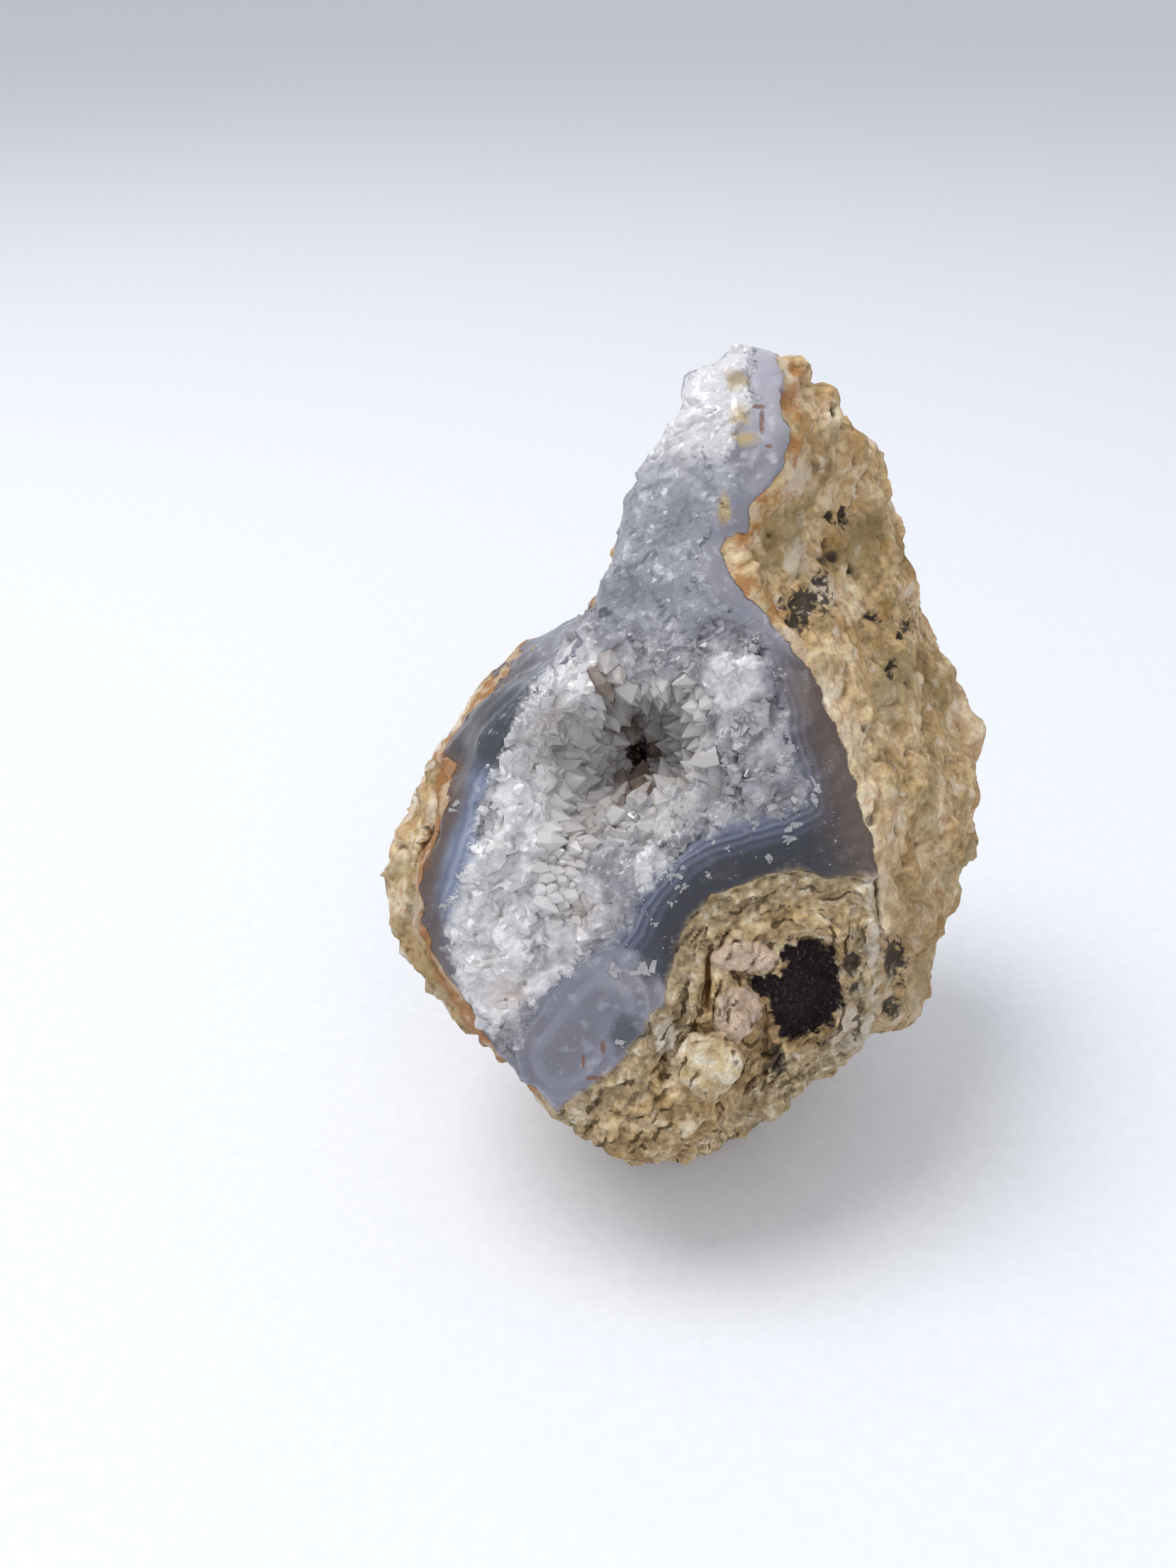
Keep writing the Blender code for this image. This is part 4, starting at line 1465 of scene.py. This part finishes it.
    def _quartz(self, mix: Recipe) -> Coat:
        """White-grey broken quartz, brighter where it is milky, paler inside the hollow by painted
        light, and painted near black as shade in the hollow's hole.

        Args:
            mix: the material that is made.

        Returns:
            The quartz's coat.
        """
        clear = mix.cloud(1.6, ((0.3, "#807F85"), (0.5, "#96959A"), (0.7, "#B0AFB2")), 5, 0.5)
        milky = mix.cloud(1.6, ((0.3, "#C4C2C2"), (0.5, "#DAD8D8"), (0.7, "#ECEAEA")), 5, 0.5)
        colour = mix.wash(clear, milky, Edge(Zone.MILK, 0.0, 1.0, 0.4, 1.2).share(mix))
        colour = toned(mix, colour, (*self.quartz_tones, *self.iron_stains))
        low, high = self.quartz_roughness
        span = {"Value": Scatter(0.9, 0.35, 0.65).share(mix), "To Min": low, "To Max": high}
        height = mix.facets(2.0, 0.3, mix.facets(0.8, 0.25, mix.facets(0.3, 0.07)))
        return Coat(colour, mix.node(Kind.SPAN, span), height)

    def _rind(self, mix: Recipe) -> Coat:
        """Weathered rind: ochre and tan with cream lumps, olive and rust, with painted shade in its
        pits and creases and towards its bottom.

        Args:
            mix: the material that is made.

        Returns:
            The rind's coat.
        """
        colour = mix.grained(mix.cloud(5.5, self.rind_clouds, 6, 0.3), 0.8, 0.6)
        height = mix.facets(0.8, 0.1, mix.rough_height(1.5, 0.5, 0.4, 0.2))
        return Coat(toned(mix, colour, self.rind_tones), self.rind_roughness, height)

    def _matrix(self, mix: Recipe) -> Coat:
        """Beige clay-rich matrix, glassier next to the agate, with olive-brown crevices, pale crust
        specks and painted shade in the dips of its relief.

        Args:
            mix: the material that is made.

        Returns:
            The matrix's coat.
        """
        glassy = mix.cloud(1.1, self.glassy_matrix, 6, 0.3)
        blocky = mix.cloud(2.6, self.blocky_matrix, 6, 0.3)
        colour = mix.wash(glassy, blocky, self.blocky_edge.share(mix))
        colour = toned(mix, mix.grained(colour, 0.7, 0.6), self.pale_tones)
        knob = mix.cloud(1.3, self.knob_clouds, 5)
        colour = mix.wash(colour, knob, self.knob_edge.share(mix), 0.85)
        colour = toned(mix, colour, self.crust_and_cavity_shade_tones)
        torn = self._torn(mix)
        colour = mix.wash(colour, "#4C3A18", torn, 0.85)
        colour = toned(mix, colour, self.dark_tones)
        high = mix.facets(0.6, 0.35, mix.rough_height(0.6, 0.4, 0.22, 0.15))
        inputs = {0: torn, 1: -self.crevice_depth, 2: high}
        height = mix.node(Kind.MATH, inputs, operation="MULTIPLY_ADD")
        return Coat(colour, self.matrix_roughness, height)

    def _torn(self, mix: Recipe) -> bpy.types.NodeSocket:
        """The share of thin torn crevices that follow the matrix's edge.

        Args:
            mix: the material that is made.

        Returns:
            The share.
        """
        inputs = {0: mix.wandered(Zone.MATRIX, 1.1, 2.2), 1: self.crevice_spacing}
        wave = mix.node(Kind.MATH, inputs, operation="PINGPONG")
        low, high = self.crevice_width
        span = {"Value": wave, "From Min": low, "From Max": high}
        thin = mix.node(Kind.SPAN, span, interpolation_type="SMOOTHSTEP")
        return mix.meeting(thin, Scatter(2.0, 0.5, 0.6).share(mix))

    def _clast(self, mix: Recipe) -> Coat:
        """A near-black fine-grained clast with pale specks.

        Args:
            mix: the material that is made.

        Returns:
            The clast's coat.
        """
        colour = mix.cloud(0.3, ((0.35, "#140D0F"), (0.6, "#241A1D"), (0.76, "#5A4D4E")), 3)
        colour = Tone("#6E5A4C", 0.5, Scatter(1.1, 0.62, 0.7, 5)).over(mix, colour)
        height = mix.facets(0.5, 0.4, mix.rough_height(0.5, 0.2, 0.2, 0.1))
        return Coat(colour, self.clast_roughness, height)


@dataclass(frozen=True)
class QuartzFinish:
    """Clear to milky quartz, with glassy flat faces. It is brown deep in the hollow, and painted
    near black as shade in its hole.
    """

    name: str
    tone: str
    transmission: float
    roughness: float
    ior: float = 1.544
    tones: tuple[Tone, ...] = (
        Tone("#E8E7E7", 1.0, Edge(Zone.MILK, 0.0, 1.0, 0.2, 1.0)),
        Tone("#F4F3F4", 0.3, Edge(Zone.SHADE, 0.5, 1.0, 0.1, 0.6)),
        Tone("#C9A896", 0.35, Edge(Zone.PINK, -0.1, 0.7, 0.3, 1.0)),
        Tone("#C2A766", 0.55, Edge(Zone.YELLOW, -0.1, 0.6, 0.5, 0.8)),
        Tone("#6C513D", 0.85, Edge(Zone.BROWN, -0.3, 0.5, 0.5, 0.8)),
        # painted shade: the hollow's hole near black
        Tone("#2A1A10", 1.0, Edge(Zone.HOLE, 0.0, 0.5, 0.3, 0.6)),
    )

    def make(self) -> bpy.types.Material:
        """Makes the material.

        Returns:
            The material.
        """
        mix = Recipe(self.name)
        height = mix.rough_height(0.5, 0.02, 0.2, 0.01)
        coat = Coat(toned(mix, self.tone, self.tones), self.roughness, height)
        return mix.finish(coat, IOR=self.ior, Transmission_Weight=self.transmission)


@dataclass(frozen=True)
class Shape:
    """A small closed model shape about 1 unit in radius."""

    corners: np.ndarray
    faces: list[list[int]]

    @classmethod
    def taken(cls) -> Self:
        """Reads the active object as a shape and removes it.

        Returns:
            The shape.
        """
        made = bpy.context.object
        corners = np.array([vertex.co for vertex in made.data.vertices])
        faces = [list(face.vertices) for face in made.data.polygons]
        bpy.data.objects.remove(made)
        return cls(corners, faces)

    @classmethod
    def grain(cls, picker: np.random.Generator, cuts: int = 4, flatness: float = 1.0) -> Self:
        """Models a broken grain: a cube cut down by flat breaks.

        Args:
            picker: random draws.
            cuts: how many breaks.
            flatness: how far the breaks may lean, 0 for a flake whose breaks stand upright.

        Returns:
            The grain.
        """
        bpy.ops.object.select_all(action="DESELECT")
        bpy.ops.mesh.primitive_cube_add(size=1.7)
        bpy.ops.object.mode_set(mode="EDIT")
        for _ in range(cuts):
            way = unit(picker.normal(size=3) * (1, 1, flatness))
            bpy.ops.mesh.select_all(action="SELECT")
            bpy.ops.mesh.bisect(
                plane_co=tuple(way * picker.uniform(0.55, 0.8)), plane_no=tuple(way),
                use_fill=True, clear_outer=True,
            )
        bpy.ops.object.mode_set(mode="OBJECT")
        return cls.taken()

    @classmethod
    def crystal(cls, tip: float, uneven: float, lean: Place) -> Self:
        """Models one crystal: a six-sided prism with three broad and three narrow end faces.

        Args:
            tip: height of the point above the prism, in radii.
            uneven: how far the rim rises and falls.
            lean: how far the point is off the middle.

        Returns:
            The crystal.
        """
        bpy.ops.object.select_all(action="DESELECT")
        bpy.ops.mesh.primitive_cylinder_add(
            vertices=6, radius=1.0, depth=1.2, location=(0, 0, -0.6)
        )
        made = bpy.context.object
        bpy.ops.object.transform_apply(location=True, rotation=True, scale=True)
        bpy.ops.object.mode_set(mode="EDIT")
        bpy.ops.mesh.select_mode(type="FACE")
        bpy.ops.mesh.select_all(action="DESELECT")
        bpy.ops.object.mode_set(mode="OBJECT")
        for face in made.data.polygons:
            face.select = face.normal.z > 0.9
        bpy.ops.object.mode_set(mode="EDIT")
        bpy.ops.mesh.poke(offset=tip)
        bpy.ops.object.mode_set(mode="OBJECT")
        shape = cls.taken()
        corners = shape.corners
        rim = np.abs(corners[:, 2]) < 0.01
        turn = np.arctan2(corners[:, 1], corners[:, 0])
        corners[rim, 2] += uneven * np.cos(3 * turn[rim])
        corners[corners[:, 2] > tip - 0.01, :2] = lean
        return shape


@dataclass
class Copies:
    """Gathers turned and sized copies of small shapes into one mesh."""

    name: str
    corners: list[np.ndarray] = field(default_factory=list)
    faces: list[list[int]] = field(default_factory=list)
    measures: dict[Zone, list[np.ndarray]] = field(default_factory=dict)
    count: int = 0

    def add(self, shape: Shape, place: np.ndarray, basis: np.ndarray, **measures: float) -> None:
        """Adds one copy.

        Args:
            shape: the shape that is copied.
            place: where its middle goes, in millimetres.
            basis: rows for its three axes, with its sizes in them.
            measures: numbers that the copy's vertices carry, by zone name.
        """
        self.corners.append(place + shape.corners @ basis)
        self.faces.extend([corner + self.count for corner in face] for face in shape.faces)
        self.count += len(shape.corners)
        for name, number in measures.items():
            kept = self.measures.setdefault(Zone[name], [])
            kept.append(np.full(len(shape.corners), number))

    def join(self, finish: bpy.types.Material) -> bpy.types.Object:
        """Makes the joined piece, which rides on the stone.

        Args:
            finish: its material.

        Returns:
            The piece.
        """
        mesh = bpy.data.meshes.new(self.name)
        mesh.from_pydata(np.concatenate(self.corners) * MM, [], self.faces)
        made = bpy.data.objects.new(self.name, mesh)
        bpy.context.scene.collection.objects.link(made)
        for zone, numbers in self.measures.items():
            keep_measure(made, zone, np.concatenate(numbers))
        mesh.materials.append(finish)
        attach(made, Body.STONE.value)
        return made


def spread(
    points: np.ndarray, bands: Iterable[tuple[float, float, np.ndarray]], spacing: float,
    picker: np.random.Generator,
) -> list[tuple[int, float]]:
    """Chooses spots that keep clear of each other, the wide ones first.

    Args:
        points: (n, 3) places in millimetres.
        bands: smallest and largest radius, and which points may take one.
        spacing: how far two spots stay apart, as a share of their radii together.
        picker: random draws.

    Returns:
        Point numbers with radii.
    """
    places = np.empty((len(points), 3))
    widths = np.empty(len(points))
    chosen: list[tuple[int, float]] = []
    for low, high, allowed in bands:
        for index in picker.permutation(np.flatnonzero(allowed)):
            radius = picker.uniform(low, high)
            taken = len(chosen)
            away = np.abs(places[:taken] - points[index]).max(axis=1, initial=0)
            close = np.flatnonzero(away < spacing * (radius + bands[0][1]))
            gaps = np.linalg.norm(places[close] - points[index], axis=1)
            if (gaps < spacing * (widths[close] + radius)).any():
                continue
            places[taken] = points[index]
            widths[taken] = radius
            chosen.append((int(index), radius))
    return chosen


def turned(axis: np.ndarray, picker: np.random.Generator) -> np.ndarray:
    """Rows of a frame whose third axis is the given one, turned by chance round it."""
    side = unit(np.cross(axis, picker.normal(size=3)))
    return np.array([side, np.cross(axis, side), axis])


@dataclass(frozen=True)
class Crystal:
    """Where one crystal grows: its vertex, radius, axis and lift, the lift in radii."""

    index: int
    radius: float
    axis: np.ndarray
    lift: float


@dataclass
class QuartzPoints:
    """The quartz crystals that line the hollow and the slope below it."""

    stone: StoneBody
    spacing: float = 0.6
    habits: tuple[tuple[float, float, Place], ...] = (
        (1.2, 0.2, (0.0, 0.0)), (1.05, 0.3, (0.2, 0.1)), (1.35, 0.25, (-0.15, 0.2)),
        (1.15, 0.15, (0.1, -0.25)),
    )
    teeth: tuple[tuple[float, float, float], ...] = (
        (-3.0, 6.4, 0.75), (-3.9, 4.2, 1.05), (-4.3, 2.2, 1.1), (-5.2, 0.6, 1.15),
        (-5.0, -1.6, 1.1), (-6.4, -3.6, 1.1), (-5.7, -5.6, 1.05), (-6.8, -7.0, 0.95),
        (-6.4, -9.8, 0.9), (-1.9, 1.5, 0.9), (-2.4, 0.1, 0.9), (-1.5, -1.3, 0.8),
        (-2.6, -3.3, 0.95), (-3.0, -5.0, 0.9), (-3.4, 2.9, 0.8), (-3.7, -1.0, 0.85),
        (-4.2, -3.4, 0.85), (-5.2, -8.3, 0.8),
    )

    def build(self) -> bpy.types.Object:
        """Grows the crystals on the stone.

        Returns:
            The finished piece.
        """
        picker = np.random.default_rng(SEED)
        kept, points, normals = self.stone.ground()
        shapes = [Shape.crystal(tip, uneven, lean) for tip, uneven, lean in self.habits]
        grown = self._lining(kept, points, normals, picker) + self._wall_teeth(kept, picker)
        copies = Copies("quartz_points")
        for crystal in grown:
            index, radius, axis = crystal.index, crystal.radius, crystal.axis
            sizes = radius * np.array([1, picker.uniform(0.85, 1.1), picker.uniform(0.9, 1.2)])
            basis = turned(axis, picker) * sizes[:, None]
            shape = shapes[picker.integers(len(shapes))]
            copies.add(
                shape, points[index] + axis * radius * crystal.lift, basis,
                MILK=0.6 * kept.milk[index], SHADE=picker.uniform(), **self.stone.tints_and_hole_shade(index),
            )
        made = copies.join(QuartzFinish("clear_quartz", "#D2CDC9", 0.28, 0.16).make())
        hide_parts("druse_crust")
        return made

    def _lining(
        self, kept: StoneFields, points: np.ndarray, normals: np.ndarray,
        picker: np.random.Generator,
    ) -> list[Crystal]:
        """Chooses the crystals that line the hollow and lean towards its middle.

        Args:
            kept: the stone's measures.
            points: its vertices in millimetres.
            normals: its vertex normals.
            picker: random draws.

        Returns:
            The crystals.
        """
        druse = (kept.druse > 0) & (kept.front > 0.5) & (kept.quartz > 0.5)
        clear_of_hole = kept.patches[Zone.HOLE] < 0.2
        bands = (
            (0.9, 1.25, druse & clear_of_hole & (kept.seen[:, 1] > -6.0)),
            (0.55, 0.85, druse & clear_of_hole),
            (0.35, 0.5, druse),
        )
        right, up = kept.flat[:, 0], kept.flat[:, 1]
        below = smooth_step(-1.0, -4.5, up)
        left = np.maximum(below, smooth_step(0.0, -2.5, right))
        aim_right = HOLLOW.middle[0] + 3.0 * below - right
        aim_up = (HOLLOW.middle[1] - up) * (1 - below) - 0.6 * below
        grown = []
        for index, radius in spread(points, bands, self.spacing, picker):
            inward = unit(aim_right[index] * FACE.axes[0] + aim_up[index] * FACE.axes[1])
            axis = 0.85 * normals[index] + (0.3 + 0.45 * left[index]) * inward
            axis = axis + 0.2 * FACE.axes[2] + picker.normal(0, 0.22, 3)
            grown.append(Crystal(index, radius, unit(axis), picker.uniform(-0.1, 0.3)))
        return grown

    def _wall_teeth(self, kept: StoneFields, picker: np.random.Generator) -> list[Crystal]:
        """Places the large crystals of the left wall, which point to the right and outwards.

        Args:
            kept: the stone's measures.
            picker: random draws.

        Returns:
            The crystals.
        """
        seen = np.flatnonzero((kept.in_sight > 0.3) & (kept.front > 0.5))
        grown = []
        for right, up, radius in self.teeth:
            index = int(seen[np.linalg.norm(kept.seen[seen] - (right, up), axis=1).argmin()])
            axis = (0.95, picker.uniform(-0.35, 0.15), picker.uniform(0.15, 0.5)) @ FACE.axes
            grown.append(Crystal(index, radius, unit(axis), 0.1))
        return grown


@dataclass
class QuartzSugar:
    """The fine broken grains that make the quartz of the face look like sugar."""

    stone: StoneBody
    spacing: float = 0.85
    variants: int = 8

    def build(self) -> bpy.types.Object:
        """Strews the grains over the quartz.

        Returns:
            The finished piece.
        """
        picker = np.random.default_rng(SEED + 1)
        kept, points, normals = self.stone.ground()
        shapes = [Shape.grain(picker) for _ in range(self.variants)]
        ground = (kept.quartz > 0.4) & (kept.rind > 0.5) & (kept.front > 0.5)
        ground &= (kept.druse < 0.2) & (kept.opening < 0.0)
        spilt = (kept.quartz > -0.5) & (kept.quartz < 0.5) & (kept.rind > 0.8) & (kept.front > 0.5)
        up = kept.seen[:, 1]
        patchy = swell(points, 3.0, 61) + 0.5 * swell(points, 1.2, 62)
        neck = up > 10
        bands = (
            (0.4, 0.55, ground & ~neck & (patchy > 0.6)),
            (0.22, 0.4, ground & ~neck & (patchy > 0.45)),
            (0.14, 0.26, ground & (patchy > 0.5 + 0.7 * neck)),
            (0.08, 0.16, spilt & (patchy > 0.5)),
        )
        copies = Copies("quartz_sugar")
        for index, radius in spread(points, bands, self.spacing, picker):
            axis = unit(normals[index] + picker.normal(0, 0.5, 3))
            sizes = radius * picker.uniform(0.5, 1.4, 3)
            basis = turned(axis, picker) * sizes[:, None]
            place = points[index] - normals[index] * radius * picker.uniform(0.2, 0.6)
            copies.add(
                shapes[picker.integers(len(shapes))], place, basis, MILK=kept.milk[index],
                SHADE=picker.uniform(), **self.stone.tints_and_hole_shade(index),
            )
        return copies.join(QuartzFinish("sugary_quartz", "#B0AEB2", 0.35, 0.2).make())


@dataclass
class QuartzChips:
    """White flakes of broken quartz that cling to the smooth agate."""

    stone: StoneBody
    large: tuple[tuple[float, float, float], ...] = (
        (0.9, -18.4, 1.6), (-1.2, -18.0, 1.1), (15.8, -2.6, 1.1), (15.7, -3.6, 0.6),
        (14.0, -5.6, 0.7), (13.5, -6.9, 0.85), (12.1, -8.4, 0.55), (8.3, -7.6, 0.5),
        (3.8, -9.5, 1.1), (4.5, -10.9, 0.6), (3.6, -12.2, 0.5), (6.8, -9.7, 0.4),
        (10.8, -5.2, 0.7), (7.0, -6.8, 0.4), (1.9, -13.9, 0.5), (-16.0, -3.3, 0.8),
        (-15.9, -12.6, 0.7), (-0.6, -24.7, 0.6),
    )
    specks: int = 60
    cluster: int = 5
    variants: int = 8

    def build(self) -> bpy.types.Object:
        """Strews the flakes.

        Returns:
            The finished piece.
        """
        picker = np.random.default_rng(SEED + 2)
        kept, points, normals = self.stone.ground()
        shapes = [Shape.grain(picker, 5, 0.2) for _ in range(self.variants)]
        smooth = (kept.front > 0.8) & (kept.quartz < -0.2) & (kept.rind > 0.6) & (kept.matrix < 0)
        smooth &= kept.seen[:, 1] < 8
        ground = np.flatnonzero(smooth)
        spots = [
            (int(index), picker.uniform(0.05, 0.13)) for index in picker.choice(ground, self.specks)
        ]
        for right, up, radius in self.large:
            for _ in range(self.cluster):
                spot = (right, up) + picker.normal(0, 0.4 * radius, 2)
                nearest = np.linalg.norm(kept.seen[ground] - spot, axis=1).argmin()
                spots.append((int(ground[nearest]), radius * picker.uniform(0.25, 0.55)))
        copies = Copies("quartz_chips")
        for index, radius in spots:
            axis = unit(normals[index] + picker.normal(0, 0.15, 3))
            sizes = np.array([
                radius * picker.uniform(0.8, 1.6), radius * picker.uniform(0.3, 0.8),
                0.03 + 0.1 * radius,
            ])
            basis = turned(axis, picker) * sizes[:, None]
            copies.add(
                shapes[picker.integers(len(shapes))], points[index], basis, MILK=0.4,
                SHADE=picker.uniform(0, 0.6), **self.stone.tints_and_hole_shade(index),
            )
        return copies.join(QuartzFinish("quartz_flakes", "#D0D0D4", 0.6, 0.3).make())


@dataclass(frozen=True)
class Lamp:
    """A soft round lamp that is aimed at the stone, with its place and size in metres."""

    name: str
    place: tuple[float, float, float]
    size: float
    power: float


@dataclass
class Studio:
    """A pale floor, soft light and the camera."""

    lens: float = 30.92
    pitch: float = math.radians(90 - 32.5)
    floor_radius: float = 6.0
    sky: str = "#EEF1F8"
    sky_strength: float = 0.72
    lamps: tuple[Lamp, ...] = (
        Lamp("window", (-0.3, 0.0, 0.75), 0.45, 3.6),
        Lamp("front fill", (0.15, -0.6, 0.55), 0.5, 1.0),
    )
    aim: tuple[float, float, float] = (0.0, 0.0, 0.04)

    def build(self) -> None:
        """Sets up the studio."""
        self._camera()
        self._floor()
        self._light()

    def _camera(self) -> None:
        """Puts the camera where the face is looked at squarely from a little above."""
        data = bpy.data.cameras.new("camera")
        data.lens = self.lens
        data.sensor_width = 36.0
        data.clip_start = 0.005
        made = bpy.data.objects.new("camera", data)
        made.location = Vector(FACE.eye) * MM
        made.rotation_euler = (self.pitch, 0, 0)
        bpy.context.scene.collection.objects.link(made)
        bpy.context.scene.camera = made

    def _floor(self) -> None:
        """Adds the pale floor."""
        bpy.ops.object.select_all(action="DESELECT")
        bpy.ops.mesh.primitive_circle_add(vertices=96, radius=self.floor_radius, fill_type="NGON")
        made = bpy.context.object
        made.name = "floor"
        mix = Recipe("matt_pale_floor")
        grain = mix.cloud(1.5, ((0.3, "#E6E8ED"), (0.7, "#EAECF1")), 2)
        coat = Coat(grain, 0.85, mix.rough_height(2, 0.01, 0.8, 0.01))
        made.data.materials.append(mix.finish(coat))

    def _light(self) -> None:
        """Adds the sky and the soft lamps."""
        world = bpy.data.worlds.new("pale sky")
        bpy.context.scene.world = world
        world.use_nodes = True
        back = world.node_tree.nodes["Background"]
        back.inputs["Color"].default_value = linear(self.sky)
        back.inputs["Strength"].default_value = self.sky_strength
        for lamp in self.lamps:
            data = bpy.data.lights.new(lamp.name, "AREA")
            data.shape = "DISK"
            data.size = lamp.size
            data.energy = lamp.power
            made = bpy.data.objects.new(lamp.name, data)
            made.location = lamp.place
            way = Vector(self.aim) - made.location
            made.rotation_euler = way.to_track_quat("-Z", "Y").to_euler()
            bpy.context.scene.collection.objects.link(made)
        bpy.context.scene.view_settings.view_transform = "Standard"


def main() -> None:
    """Builds the studio and the object."""
    logging.basicConfig(level=logging.INFO, format="%(message)s")
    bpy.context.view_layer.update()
    Studio().build()
    stone = StoneBody()
    for part in (stone, QuartzPoints(stone), QuartzSugar(stone), QuartzChips(stone)):
        report(part.build())


if __name__ == "__main__":
    main()
